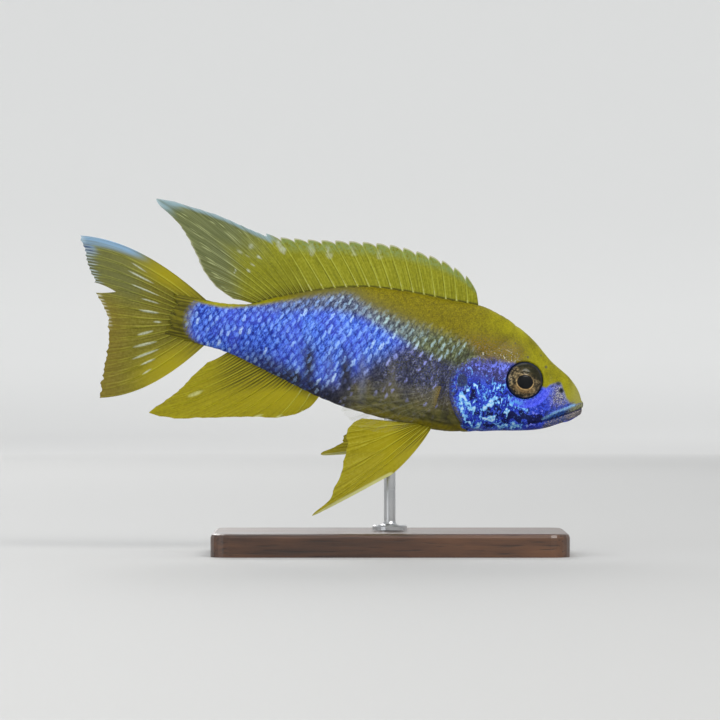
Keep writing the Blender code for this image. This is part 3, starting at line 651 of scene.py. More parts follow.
# The finish of the body
bodyTints = {
    "gold": (136, 131, 4),
    "goldPale": (154, 149, 16),
    "goldDeep": (112, 106, 3),
    "goldBack": (114, 104, 2),
    "amber": (122, 90, 14),
    "rosy": (102, 98, 60),
    "blueDeep": (26, 44, 148),
    "blue": (62, 98, 214),
    "blueLight": (104, 148, 246),
    "violet": (84, 90, 226),
    "sky": (150, 190, 252),
    "ice": (196, 226, 255),
    "mistFront": (90, 99, 60),
    "mistRear": (88, 96, 104),
    "cyan": (180, 208, 200),
    "smoke": (60, 64, 72),
    "brown": (94, 86, 56),
    "dusk": (30, 32, 48),
    "olive": (92, 90, 44),
    "oliveDeep": (62, 60, 28),
    "keel": (140, 130, 18),
    "royal": (38, 60, 196),
    "indigo": (22, 32, 120),
    "navy": (12, 14, 46),
    "sea": (98, 170, 246),
    "arc": (76, 92, 246),
    # the painted highlight on the upper lip
    "stripe": (128, 176, 212),
    "lip": (30, 74, 148),
    "lipGrey": (96, 98, 102),
    "lipPale": (176, 172, 168),
    "speck": (52, 46, 16),
    "chalk": (206, 206, 196),
    "black": (34, 37, 46),
}


def groundColour(read):
    # the body's colours without the spots, the same on the skin and under the scales
    t = bodyTints
    at = read("fishPos", True)
    station, height = at.part(0), at.part(2)
    strokes = at.turned(0.31).grown((2.5, 0.8, 0.85)).noise(1, 3, 0.62)
    grain = at.noise(2.6, 3, 0.6)
    dust = at.noise(3.9, 2, 0.6)
    cloud = at.grown((1, 1, 0.7)).noise(0.3, 2)
    texture = strokes * 0.6 + grain * 0.26 + cloud * 0.14
    rough = grain * 0.6 + strokes * 0.4
    patchy = cloud * 0.8 + grain * 0.5 + 0.3
    # the blue of the flank, the mist above it and the smoky front
    blue = (texture - station.ease(72, 86) * 0.034).stops(
        (0.4, t["blueDeep"]), (0.49, t["blue"]), (0.58, t["blueLight"]), (0.68, t["sky"]))
    blue = blue.tinted(t["violet"], at.noise(0.14, 2).ease(0.46, 0.6) * 0.28)
    mist = texture.stops((0.4, (66, 64, 34)), (0.5, t["mistFront"]), (0.62, (138, 146, 104)))
    rear = texture.stops((0.4, t["dusk"]), (0.5, t["mistRear"]), (0.62, (146, 158, 170)))
    smoke = rough.stops((0.41, t["dusk"]), (0.49, t["smoke"]), (0.56, (80, 86, 112)), (0.63, (136, 138, 166)))
    brown = rough.stops((0.38, t["oliveDeep"]), (0.5, t["brown"]), (0.62, (126, 122, 96)))
    smoke = smoke.painted(
        ((92, 86, 50), dust.ease(0.54, 0.62) * 0.5), ((74, 78, 156), dust.ease(0.46, 0.39) * 0.55),
        (brown, height.ease(-2, -8) * 0.85))
    # the bars, the shaded lower edge and the olive belly
    bars = read("bars") * patchy
    pale = rough.stops((0.4, (72, 82, 116)), (0.6, (122, 128, 160)))
    pale = pale.tinted((116, 112, 82), station.ease(55, 51))
    dark = (bars * 0.95).most(read("lowEdge") * patchy)
    olive = at.grown((0.3, 0.6, 1.2)).noise(1.1, 3).stops(
        (0.36, t["oliveDeep"]), (0.52, t["olive"]), (0.7, (118, 112, 62)))
    ground = blue.painted(
        (smoke, read("smoky")), (rear.tinted(mist, station.ease(64, 42)), read("mist") * 0.9),
        (pale, (bars * -0.8).within(0, 0.8)),
        (rough.stops((0.4, t["dusk"]), (0.6, (66, 68, 84))), dark.least(1)), (olive, read("belly") * 0.9))
    # the yellow of the back; the scaled root of the tail is dark in its middle, with streaks that run
    # out with the rays
    back = rough.stops((0.38, (88, 78, 3)), (0.5, t["goldBack"]), (0.62, (138, 124, 14)))
    amber = station.ease(15, 21) * station.ease(38, 28) * height.ease(15, 9)
    streaks = at.grown((0.12, 0.3, 1.9)).noise(1, 3, 0.6)
    root = streaks.stops((0.4, (70, 66, 14)), (0.5, (96, 91, 20)), (0.62, (124, 117, 28)))
    yellow = (cloud * 0.5 + grain * 0.5).stops((0.38, t["goldDeep"]), (0.5, t["gold"]), (0.62, t["goldPale"]))
    yellow = yellow.painted(
        (back, station.ease(18, 38) * station.ease(90, 74) * 0.85),
        (t["amber"], amber * grain.ease(0.36, 0.62) * 0.9),
        ((84, 78, 56), amber * dust.ease(0.5, 0.6) * 0.8),
        ((72, 66, 40), amber * grain.ease(0.5, 0.4) * 0.75),
        ((172, 160, 128), amber * height.ease(14, 8) * dust.ease(0.56, 0.66) * 0.7),
        (t["rosy"], read("rosy") * 0.85), ((152, 149, 88), station.ease(5.5, 1) * 0.6),
        (root, read("tailBase") * abs(height - 0.4).ease(6.8, 5)))
    gold = read("gold")
    mixed = (gold + (texture - 0.5) * (7 + read("tailBase") * 12) * gold * (1 - gold)).within(0, 1)
    return ground.painted((yellow, mixed), (t["keel"], read("keel") * 0.85)), at, cloud, grain


def facePaint(read, at, cloud, grain, fine):
    # bright strokes and flecks and navy patches on royal blue
    t = bodyTints
    station, height, pale = at.part(0), at.part(2), read("pale")
    ragged = at.grown((1, 1, 0.6)).noise(1.7, 4, 0.65)
    drift = at.grown((1, 1, 0.7)).noise(0.75, 2).ease(0.55, 0.66)
    mottle = fine * 0.5 + ragged * 0.5
    night = (read("night") + (ragged - 0.5) * 3).ease(0.3, 0.7).most(drift * grain.ease(0.36, 0.52))
    high = height.ease(-0.5, 3.6) * station.ease(18.5, 21)
    flecks = (ragged - 0.5) * 3.2 + (fine - 0.5) * 1
    glow = read("glow") * 0.9 - read("night") * 0.2 + flecks
    glow = glow + height.ease(3, -2) * station.ease(16, 19) * 0.06
    light = glow.stops((0.3, (84, 120, 236)), (0.44, t["sea"]), (0.9, (150, 214, 250)), (1, t["ice"]))
    light = light.tinted((112, 112, 234), station.ease(14.5, 12).most(height.ease(2, 4.5)) * 0.85)
    band = mottle.stops((0.42, (56, 68, 214)), (0.52, t["arc"]), (0.64, (116, 130, 250)))
    band = band.tinted(t["sea"], station.ease(14, 17.5) * ragged.ease(0.44, 0.56))
    face = (cloud * 0.4 + grain * 0.6).stops((0.4, t["indigo"]), (0.5, t["royal"]), (0.62, (74, 104, 226)))
    # the last three are the whitish grains round the nostril and dark ones between them
    face = face.painted(
        (t["navy"], night * 0.9), ((60, 58, 90), high * 0.85),
        ((116, 122, 232), high * mottle.ease(0.505, 0.575) * 0.9),
        (light, glow.ease(0.24, 0.44) * (1 - read("arc") * 0.8)),
        (band, (read("arc") * 1.3 + flecks * 0.3).ease(0.2, 0.9)), ((92, 88, 108), pale * 0.85),
        (t["chalk"], pale * fine.ease(0.51, 0.6) * 0.95), ((30, 32, 60), pale * grain.ease(0.46, 0.38) * 0.8))
    share = read("face") * (1 - read("gold"))
    share = (share + (at.noise(1.25, 4, 0.72) - 0.5) * 15 * share * (1 - share)).within(0, 1)
    return face, share, glow


def skinPaint(read):
    t = bodyTints
    ground, at, cloud, grain = groundColour(read)
    station, height = at.part(0), at.part(2)
    fine = at.noise(4.2, 2, 0.6)
    face, share, glow = facePaint(read, at, cloud, grain, fine)
    edge = grain.stops((0.4, (24, 30, 84)), (0.6, (58, 82, 176)))
    worn = (fine * 0.5 + grain * 0.5).stops((0.42, (70, 70, 48)), (0.58, (140, 142, 104)))
    upper = grain.stops((0.42, (14, 24, 60)), (0.5, (22, 52, 116)), (0.62, t["lip"]))
    upper = upper.tinted(worn, station.ease(4.6, 1.6) * 0.95)
    lower = (fine * 0.6 + grain * 0.4).stops(
        (0.4, (48, 44, 52)), (0.49, t["lipGrey"]), (0.54, (128, 112, 112)), (0.62, t["lipPale"]))
    bluish = station.ease(1.8, 4.6) * (grain * 0.5 + fine * 0.5).ease(0.56, 0.48)
    lower = lower.tinted((38, 66, 136), bluish * 0.85)
    # the painted highlight along the upper lip
    stripe = (read("stripe") * (0.3 + grain + (fine - 0.5) * 3)).within(0, 1)
    # dark specks on the yellow of the head, pale ones behind the eye
    specks = fine.ease(0.57, 0.66) * at.noise(0.5, 2).ease(0.45, 0.58) * station.ease(10, 20)
    behind = station.ease(18.5, 20) * station.ease(40, 34)
    stars = at.moved((3, 1, 2)).noise(1.9, 1).ease(0.63, 0.7) * behind
    stars = stars * height.ease(6.4, 7.4) * height.ease(11.5, 9)
    spot = fine.stops((0.42, t["black"]), (0.62, (64, 72, 84)))
    colour = ground.painted(
        (face, share), (edge, read("coverEdge") * 0.6), (upper, read("upperLip")), (t["stripe"], stripe),
        (lower, read("lowerLip")), (t["speck"], specks * read("gold") * 0.6), (t["chalk"], stars * 0.8),
        (spot, (read("dark") * (0.75 + fine * 0.4)).least(0.95)))
    pores = at.cells(3.2).ease(0.1, 0.5)
    bumps = grain * 0.5 + pores * 0.4 + glow.ease(0.3, 0.5) * share * 0.4
    return {"Base Color": colour, "Roughness": 0.45 + grain * 0.22, "Bump": (bumps, 0.4, 0.0002)}


def scalePaint(read):
    t = bodyTints
    ground, at, _, grain = groundColour(read)
    plate = read("plate", True)  # across from -1 to 1, along from 0 to 1, and a random share
    across, along, chance = plate.part(0), plate.part(1), plate.part(2)
    station, mist, gold = at.part(0), read("mist"), read("gold")
    rear = station.ease(66, 88)
    fine = at.turned(0.31).grown((3.4, 1, 1.7)).noise(1, 2)
    wobble = at.noise(0.9, 2) - 0.5
    lower = read("smoky") * (1 - mist)
    # a painted highlight on each scale: a steep dash, a rounder dot towards the tail
    lean = along - 0.66 - (chance - 0.5) * 0.16 + across * (0.13 - rear * 0.05) + wobble * 0.25
    reach = 0.7 - rear * 0.24 - lower * 0.44 + (chance - 0.5) * 0.4
    far = (lean / (0.078 + rear * 0.03)) ** 2 + ((across + wobble * 0.9) / reach) ** 2
    weak = (1 - gold) * (1 - read("belly") * 0.9) * (1 - abs(read("bars")) * 0.5)
    weak = weak * (1 - lower * (1 - chance.ease(0.48, 0.66)))
    lit = (0.42 + chance * 0.5 + (fine - 0.5) * 2.4) * weak * (1 - read("lowEdge") * 0.5)
    lit = lit * (1 - mist * station.ease(64, 48) * (0.95 - chance)) * (1 - rear * 0.3)
    lit = lit * (1 - mist * station.ease(56, 64) * 0.4)
    dash = (far.ease(1.8, 0) * lit).within(0, 0.85)
    # the rim of each scale and its root, under the edge of the scale ahead, are painted darker: painted shade
    rim = (along + (across ** 2) * 0.42).ease(0.8, 1)
    root = along.ease(0.62, 0.4)
    # the colours of the painted highlight on the scales
    glow = chance.stops((0.3, t["blueLight"]), (0.7, t["sky"]), (1, t["ice"]))
    glow = glow.painted((t["cyan"], mist * station.ease(74, 56) * 0.8), ((146, 142, 218), lower * 0.8))
    colour = ground.painted((t["dusk"], (rim * 0.3).most(root * 0.35) * (1 - gold * 0.75)), (glow, dash))
    bumps = grain * 0.6 + dash * 0.5
    return {"Base Color": colour, "Roughness": 0.48 + grain * 0.2, "Bump": (bumps, 0.3, 0.0001)}


# Skin
skinShape = {
    "sides": 246,
    "stationStep": [(0, 0.1), (10, 0.14), (34, 0.16), (42, 0.5), (112, 0.62)],
    "start": 0.35,
    "end": 109.6,
    "noseRings": 9,
    "noseDepth": 0.5,
    "lipRise": 0.52,
    "lipWidth": 0.8,
    "mouthDepth": 0.6,
    "orbitRadius": 4.8,
    "orbitDepth": 2.6,
    "orbitRim": 0.2,
    "rimRadii": (5.35, 6.5),  # of the raised ring round the eye and of the groove outside it
    "coverRise": 0.34,
    "underScales": 0.16,
}


def roundHill(x, middle, half):
    return np.sqrt(np.clip(1 - ((x - middle) / half) ** 2, 0, 1))


jawFold = rounded([(8.8, -6.2), (10.6, -6.7), (12.4, -7.4), (13.6, -9)])
cheekFold = rounded([(4.6, -1.5), (7, -2.5), (9.4, -4.2), (10.4, -6.2)])


def skinRelief(p):
    # how far the skin stands out from the plain body at each point
    k = skinShape
    s, y, z = np.moveaxis(p, -1, 0)
    mouth = mouthOffset(s, z)
    corner = ramp(10.2, 7, s)
    lips = roundHill(mouth, 0.84, k["lipWidth"]) + roundHill(mouth, -0.82, k["lipWidth"])
    h = k["lipRise"] * lips * corner * (1 - 0.55 * ramp(4.5, 0, s))
    h -= k["mouthDepth"] * hill(mouth, 0, 0.13) * ramp(9.6, 8.6, s)
    side = np.abs(y) > 0.5
    nostril = np.hypot(s - head["nostril"][0], (z - head["nostril"][1]) * 0.9)
    h += side * (0.14 * hill(nostril, 0.85, 0.28) - 0.75 * ramp(0.62, 0.3, nostril))
    orbit = np.hypot(s - head["eye"][0] - 0.05, z - head["eye"][1] + 0.05)
    ring, groove = k["rimRadii"]
    h += side * k["orbitRim"] * hill(orbit, ring, 0.55) - side * 0.1 * hill(orbit, groove, 0.6)
    h -= side * k["orbitDepth"] * ramp(k["orbitRadius"] + 0.12, k["orbitRadius"] - 0.3, orbit)
    depth = coverDepth(s, z)
    rear = ramp(23.6, 27.5, s + 0.25 * np.abs(z + 3))
    h += k["coverRise"] * ramp(-0.1, 0.5, depth) * rear * ramp(3.2, 0.4, depth)
    h += 0.16 * ramp(0, 2, depth) * rear
    h -= 0.26 * hill(depth, -0.34, 0.3) * rear
    near = (s > 6) & (s < 28)
    for line, deep, wide in ((cheekLine, 0.2, 0.4), (jawFold, 0.26, 0.24), (cheekFold, 0.16, 0.22)):
        far, share = lineDistance(s[near], z[near], line)
        h[near] -= deep * np.exp(-((far / wide) ** 2)) * ramp(0, 0.15, share) * ramp(1, 0.85, share)
    h += 0.25 * hill(s, 19.5, 4) * hill(z, -4, 3) * side
    h -= 0.42 * ramp(105.5, 109.4, s + 0.5 * np.sin(z * 2.2))
    return h - k["underScales"] * ramp(-0.6, 0.8, s - scaleStart(z))


def stationsFrom(start, end, step):
    at = [start]
    while at[-1] < end:
        at.append(at[-1] + float(step(at[-1])))
    return np.array(at)


def buildSkin():
    k = skinShape
    stations = stationsFrom(k["start"], k["end"], curve(k["stationStep"]))
    around = -1 + 2 * np.arange(k["sides"]) / k["sides"]
    rings = bodyPoint(stations[:, None], around[None, :])
    first = rings[0]
    middle = np.array([k["start"], 0, (first[:, 2].max() + first[:, 2].min()) / 2])
    turns = np.linspace(math.pi / 2, 0, k["noseRings"] + 1)[1:-1]
    nose = [middle + (first - middle) * [0, math.cos(a) ** 0.7, math.cos(a) ** 0.7]
            - [k["noseDepth"] * math.sin(a), 0, 0] for a in turns]
    grid = np.concatenate([np.array(nose), rings])
    closed = np.concatenate([grid[:, -1:], grid, grid[:, :1]], axis=1)
    normal = unit(np.cross(np.gradient(grid, axis=0), np.gradient(closed, axis=1)[:, 1:-1]))
    grid = grid + normal * skinRelief(grid)[..., None]
    points = np.concatenate([grid.reshape(-1, 3), [middle - [k["noseDepth"], 0, 0], grid[-1].mean(0)]])
    rows, columns = grid.shape[:2]
    # the unwrap: along the body by station, round it by the share of the girth, cut along the belly
    u = np.linspace(0, 1, rows + 2)[1:-1]
    v = np.linspace(0, 1, columns + 1)
    half = (v[:-1] + v[1:]) / 2
    maps = [mapPoints(u[:, None], v).reshape(-1, 2)[gridFaces(rows, columns + 1)],
            np.stack([mapPoints(0, half), mapPoints(u[0], v[1:]), mapPoints(u[0], v[:-1])], 1),
            np.stack([mapPoints(1, half), mapPoints(u[-1], v[:-1]), mapPoints(u[-1], v[1:])], 1)]
    material = finish("fish skin", skinPaint, Specular_IOR_Level=0.14, Coat_Weight=0.03)
    flesh = ("head", "lower_jaw", "gill_cover_right", "gill_cover_left", "trunk", "tail_stalk")
    addPiece("skin", points, tubeFaces(rows, columns), markings(points), maps, material, flesh)


# Scales
scaleShape = {
    "spacing": [
        (19, 1.45), (26, 1.7), (32, 2.1), (38, 2.45), (44, 2.6), (60, 2.55), (72, 2.4), (85, 2.1),
        (100, 1.85), (112, 1.6),
    ],
    "rowHeight": 2,
    "rowSize": [(19, 0.62), (28, 0.78), (38, 0.94), (60, 0.96), (75, 0.9), (90, 0.8), (112, 0.74)],
    "rows": 15,
    "start": 19,
    "end": 106.5,
    "split": 52,  # where the front piece ends and the rear one starts
    "fullSpacing": 2.6,  # the spacing at which a scale has its full rise
    "length": 1.8,  # in spacings
    "halfWidth": 1.04,  # in row heights
    "across": 9,
    "along": 8,
    "rise": 0.3,
    "sunk": 0.14,
    "crown": 0.09,
    "thick": 0.07,
    "patch": 0.003,  # size of a scale on the unwrap
    "unwrapLength": 112,
}


def scaleRoots(side):
    # row by row: station, distance round the body, spacing and chances of each scale
    k = scaleShape
    spacing, rowSize = curve(k["spacing"]), curve(k["rowSize"])
    stations = stationsFrom(k["start"], k["end"], spacing)
    roots = []
    for row in range(-k["rows"], k["rows"] + 1):
        offset = k["rowHeight"] * (row - 0.012 * row * abs(row))
        for i in range(len(stations) - 1):
            s = stations[i] if row % 2 == 0 else (stations[i] + stations[i + 1]) / 2
            size = float(rowSize(s))
            girth = float(halfGirth(s))
            c = 0.5 - offset * size / girth
            margin = 0.22 * k["rowHeight"] * size / girth
            shake = random.normal(0, 1, 5)
            if not margin < c < 1 - margin:
                continue
            z = float(bodyPoint(s, side * c)[2])
            if s < float(scaleStart(z)):
                continue
            roots.append((s + 0.05 * shake[0], offset, float(spacing(s)), shake))
    return roots


def buildScales(name, side, roots, material):
    k = scaleShape
    rowSize = curve(k["rowSize"])
    x, q = np.meshgrid(np.linspace(-1, 1, k["across"]), np.linspace(0, 1, k["along"]))
    along = 0.16 * x**2 * (1 - q) + (1 - 0.42 * np.abs(x) ** 2.2) * q
    s0, offset, spacing = (np.array([r[n] for r in roots])[:, None, None] for n in range(3))
    shake = np.array([r[3] for r in roots])[:, :, None, None]
    length = k["length"] * spacing * (1 + 0.03 * shake[:, 1])
    edge = 0.02 * np.sin(x * 9 + shake[:, 2] * 5) * q**3
    s = s0 + (along + edge) * length
    half = k["rowHeight"] * k["halfWidth"] * (1 + 0.025 * shake[:, 3])
    c = 0.5 - (offset + x * half) * rowSize(s) / halfGirth(s)
    c = np.clip(c, 0.004, 0.996) * side
    base, normal = bodyPoint(s, c), bodyNormal(s, c)
    rise = k["rise"] * (1 + 0.12 * shake[:, 4])
    bulge = 0.05 * np.sin(math.pi * np.clip(along * 1.3 - 0.3, 0, 1)) * (1 - x**2)
    height = (rise * along - k["sunk"] - k["crown"] * x**2 * along + bulge) * (spacing / k["fullSpacing"])
    inner = ((q > 0) & (q < 1) & (np.abs(x) < 1)).astype(float)
    count, each = len(roots), x.size
    top, bottom = ((base + normal * (height + face * k["thick"] * inner)[..., None]).reshape(count, each, 3)
                   for face in (0.5, -0.5))
    # the top keeps the whole grid, the underside shares its rim
    insideAt = np.flatnonzero(inner.ravel())
    points = np.concatenate([top, bottom[:, insideAt]], 1)
    under = np.arange(each)
    under[insideAt] = each + np.arange(len(insideAt))
    quads = gridFaces(*x.shape)[:, ::-side]
    both = np.concatenate([quads, under[quads][:, ::-1]])
    faces = (both[None] + (np.arange(count) * points.shape[1])[:, None, None]).reshape(-1, 4)
    spread = np.concatenate([np.arange(each), insideAt])

    def perPoint(grid):
        return np.broadcast_to(grid, s.shape).reshape(count, each)[:, spread].ravel()

    chance = np.clip(0.5 + 0.22 * shake[:, 0], 0, 1)
    values = markings(base.reshape(count, each, 3)[:, spread].reshape(-1, 3))
    values["plate"] = np.stack([perPoint(x), perPoint(along), perPoint(chance)], -1)
    # each scale is a small patch at its root's place on the skin's unwrap
    u = s0 / k["unwrapLength"] + (along - 0.5) * k["patch"]
    v = (side * (0.5 - offset * rowSize(s0) / halfGirth(s0)) + 1) / 2 + x * 0.5 * k["patch"]
    uv = mapPoints(u, v).reshape(count, each, 2)
    bakeMap = np.concatenate([uv[:, quads], uv[:, quads[:, ::-1]] + [0, 1.4 * k["patch"]]], 1)
    addPiece(name, points.reshape(-1, 3), [faces], values, [bakeMap], material, sharp=60)


def dressInScales():
    material = finish("flank scales", scalePaint, Specular_IOR_Level=0.12)
    split = scaleShape["split"]
    for side, word in ((-1, "right"), (1, "left")):
        roots = scaleRoots(side)
        for part, low, high in (("front", 0, split), ("rear", split, math.inf)):
            some = [r for r in roots if low <= r[0] < high]
            buildScales(f"scales_{word}_{part}", side, some, material)


# Eyes
eyeShape = {
    "segments": 144,
    "rings": 72,
    "backDepth": 1.9,
    "pupil": (-0.1, -0.55),
    "pupilRadii": (2.05, 1.8),
    "pupilBulge": 0.14,
}

eyeTints = {
    "pupil": (4, 5, 8),
    "ring": (206, 172, 116),
    "iris": (90, 80, 60),
    "irisDark": (36, 32, 24),
    "olive": (30, 30, 12),
    "rim": (20, 28, 48),
}


def pupilShare(f, u):
    # 1 on the pupil's edge, less inside it; drawn out a little to the front
    (pf, pu), (rf, ru) = eyeShape["pupil"], eyeShape["pupilRadii"]
    return np.hypot((f - pf) / (rf * (1 + 0.06 * np.sign(f - pf))), (u - pu) / ru)


def buildEye(name, side, material):
    k = eyeShape
    turn, tilt = head["eyeTurn"], head["eyeTilt"]
    axis = unit(np.array([-math.sin(turn), side * math.cos(turn) * math.cos(tilt), math.sin(tilt)]))
    s, z = head["eye"]
    centre = np.array([s, side * float(sideAt(s, z)), z]) - axis * head["eyeSunk"]
    up = unit(np.array([0, 0, 1]) - axis * axis[2])
    ahead = np.cross(up, axis)
    ahead *= -np.sign(ahead[0])
    # closer rings over the iris than behind it
    polar = math.pi * np.linspace(0, 1, k["rings"] + 1)[1:-1, None] ** 1.35
    turns = 2 * math.pi * np.arange(k["segments"]) / k["segments"]
    f = head["eyeRadius"] * np.sin(polar) * np.cos(turns)
    u = head["eyeRadius"] * np.sin(polar) * np.sin(turns)
    inPupil = pupilShare(f, u)
    front = polar < math.pi / 2
    w = np.cos(polar) * np.where(front, head["eyeHalfDepth"], k["backDepth"])
    w = w + front * (k["pupilBulge"] * ramp(1.05, 0.8, inPupil) - 0.1 * hill(inPupil, 1.32, 0.12))
    local = np.concatenate([np.stack([f, u, w], -1).reshape(-1, 3),
                            [[0, 0, head["eyeHalfDepth"] + k["pupilBulge"]], [0, 0, -k["backDepth"]]]])
    points = centre + local @ np.array([ahead, up, axis])
    faces = [g[:, ::side] for g in tubeFaces(*f.shape)]
    # the front and the back of the ball, side by side on the map
    flat = 0.25 + 0.24 * local[:, :2] / head["eyeRadius"]
    flat[:, 0] += 0.5 * (local[:, 2] < 0)
    flat[-1, 0] = 0.75
    addPiece(name, points, faces, {"eyePos": local}, [flat[g] for g in faces], material,
             ["eye_right" if side < 0 else "eye_left"])


def eyePaint(read):
    t, k = eyeTints, eyeShape
    at = read("eyePos", True)
    ahead, above = at.part(0), at.part(1)
    f, u = ahead - k["pupil"][0], above - k["pupil"][1]
    share = ((f / k["pupilRadii"][0]) ** 2 + (u / k["pupilRadii"][1]) ** 2) ** 0.5
    fromAxis = (ahead ** 2 + above ** 2) ** 0.5
    mottle = at.noise(1.3, 4, 0.65)
    spokes = at.grown((1, 1, 0)).noise(3.4, 2)
    iris = mottle.stops((0.38, t["irisDark"]), (0.52, t["iris"]), (0.66, (168, 146, 104)))
    # painted light: the ring and the iris below the pupil are lighter towards the bottom, the ring fainter at
    # the top
    lit = 0.22 + 0.8 * u.ease(1.4, -1.6)
    ring = share.ease(1, 1.05) * share.ease(1.22, 1.12) * lit * (0.25 + mottle.ease(0.4, 0.58))
    below = u.ease(-0.6, -2.2) * share.ease(1.9, 1.3)
    colour = iris.painted(
        (t["irisDark"], fromAxis.ease(3.1, 4.2) * mottle.ease(0.6, 0.42) * 0.7),
        (t["olive"], (above + ahead * 0.35).ease(0.7, 2.6) * 0.93),
        (t["irisDark"], spokes.ease(0.5, 0.75) * 0.5), (t["ring"], ring.least(1)),
        ((176, 138, 84), below * spokes.ease(0.3, 0.6) * 0.6),
        (t["pupil"], share.ease(1.04, 0.99)), (t["rim"], fromAxis.ease(4.15, 4.6)))
    metal = share.ease(1, 1.1) * fromAxis.ease(4.2, 3.9) * 0.55
    return {"Base Color": colour, "Roughness": 0.22 + mottle * 0.2, "Metallic": metal,
            "Bump": (mottle, 0.25, 0.0002)}


rootLift = 0.3  # how far outside the body the rays would start if they weren't sunk in it


def finRay(root, tip, bow=0, bowAt=0.5, lead=None, sunk=0.9):
    # four control points of a ray's curve, bowed in the plane of the fish's side, its root sunk in the body
    root, tip = np.array(root, float), np.array(tip, float)
    along = tip - root
    aside = np.array([-along[2], 0, along[0]]) * bow
    middle = root + along * bowAt + aside
    near = root + (np.array(lead, float) if lead is not None else (middle - root) * 2 / 3)
    far = middle + (tip - middle) / 3
    return np.array([root - unit(near - root) * sunk, near, far, tip])


def cubic(ctrl, t):
    # ctrl holds four control points for each column, t a share for each column and row
    t = t[..., None]
    a, b, c, d = (ctrl[:, None, k] for k in range(4))
    return a * (1 - t) ** 3 + b * 3 * t * (1 - t) ** 2 + c * 3 * t**2 * (1 - t) + d * t**3


def between(ctrl, i, share):
    # control points part of the way from one ray to the next, on a smooth line through all of them
    four = (ctrl[np.clip(i + k, 0, len(ctrl) - 1)] for k in (-1, 0, 1, 2))
    return passing(*four, share[:, None, None])


def softEdge(i, share):
    # where the fin ends, as a share of its rays: a shallow scallop between every two of them
    return 0.99 - 0.012 * np.abs(np.sin(share * 2 * math.pi))


def branchGap(share, t, gap, hard):
    # distance in mm to the nearest ray or branch; soft rays fork twice on their way out
    x = np.minimum(share, 1 - share)
    first = 0.15 * ramp(0.3, 1, t) * (1 - hard)
    second = 0.062 * ramp(0.62, 1.05, t) * (1 - hard)
    near = np.minimum(np.abs(x - first - second), np.abs(x - first + second))
    return near * gap


def buildFin(name, node, rays, style, material, marks=None, edge=softEdge, hardTo=0):
    ctrl = np.array(rays)
    per, rows = style["columns"], style["rows"]
    across = np.linspace(0, len(rays) - 1, (len(rays) - 1) * per + 1)
    i = np.minimum(across.astype(int), len(rays) - 2)
    share = across - i
    hard = (i < hardTo).astype(float)[:, None]
    reach = edge(i, share)
    fray = style["fray"] * np.interp(across, np.arange(len(across)) / 3, random.normal(0, 1, len(across)))
    t = np.linspace(0, 1, rows)[None, :] * (reach + fray * (reach < 1))[:, None]
    middle = cubic(between(ctrl, i, share), t)
    gap = np.linalg.norm(cubic(ctrl[i + 1], t) - cubic(ctrl[i], t), axis=-1)
    normal = unit(np.cross(np.gradient(middle, axis=0), np.gradient(middle, axis=1)))
    near = branchGap(share[:, None], t, gap, hard)
    radius = style["rayRadius"][0] * (1 - t) + style["rayRadius"][1] * t
    ridge = np.sqrt(np.clip(1 - (near / radius) ** 2, 0, 1))
    skin = style["membrane"][0] + (style["membrane"][1] - style["membrane"][0]) * np.clip(t, 0, 1)
    thick = skin / 2 + radius * ridge
    # the skin sags a little between the rays, more towards the edge, and the whole fin waves gently
    sag = style["sag"] * np.sin(math.pi * share)[:, None] * t * np.where(i % 2 == 0, 1, -0.7)[:, None]
    wave = style["wave"] * np.sin(across[:, None] * style["waveRate"] + 1.3 * t) * t**1.5
    middle = middle + normal * (sag + wave)[..., None]
    one, two = middle + normal * thick[..., None], middle - normal * thick[..., None]
    columns = len(across)
    each = columns * rows
    points = np.concatenate([one.reshape(-1, 3), two.reshape(-1, 3)])
    quads = gridFaces(columns, rows)
    # round the rim, from the root of the first ray out, along the edge, in again and back along the roots
    grid = np.arange(each).reshape(columns, rows)
    a = np.concatenate([grid[0], grid[1:, -1], grid[-1, -2::-1], grid[-2:0:-1, 0]])
    b = np.roll(a, -1)
    faces = [quads, quads[:, ::-1] + each, np.stack([b, a, a + each, b + each], -1)]
    u, v = across / across[-1], np.linspace(0, 1, rows)
    spread = mapPoints(u[:, None], v * 0.49).reshape(-1, 2)
    maps = [spread[quads], spread[quads[:, ::-1]] + [0, 0.51],
            np.stack([spread[b], spread[a], spread[a], spread[b]], 1)]

    def bothFaces(field):
        return np.tile(np.broadcast_to(field, t.shape).ravel(), 2)

    values = {"fishPos": np.tile(middle.reshape(-1, 3), (2, 1)),
              "ray": np.stack([bothFaces(across[:, None]), bothFaces(t), bothFaces(share[:, None])], -1)}
    fields = {"ridge": ridge, "margin": t / reach[:, None], "hard": hard}
    if marks:
        fields.update(marks(middle, t, across))
    for key, field in fields.items():
        values[key] = bothFaces(field)
    addPiece(name, points, faces, values, maps, material, [node], sharp=50)


finTints = {
    # three shades of yellow for each fin, from its streaks' darkest to their lightest
    "dorsal": ((112, 112, 12), (142, 142, 20), (164, 166, 46)),
    "tail": ((88, 84, 14), (118, 112, 26), (142, 134, 56)),
    "anal": ((128, 118, 4), (150, 141, 6), (166, 156, 22)),
    "pelvic": ((134, 124, 8), (156, 146, 16), (170, 160, 44)),
    "deep": (84, 78, 6),
    "bright": (168, 156, 8),
    "green": (128, 150, 92),
    "grey": (104, 112, 74),
    "ray": (190, 194, 84),
    "rayGrey": (166, 172, 124),
    "pale": (202, 200, 176),
    "cream": (200, 200, 134),
    "sky": (144, 172, 182),
    "skyTail": (138, 174, 206),
    "ice": (206, 222, 226),
    "dot": (204, 206, 138),
    "chalk": (200, 208, 190),
    "night": (28, 40, 84),
    "brown": (132, 108, 42),
}

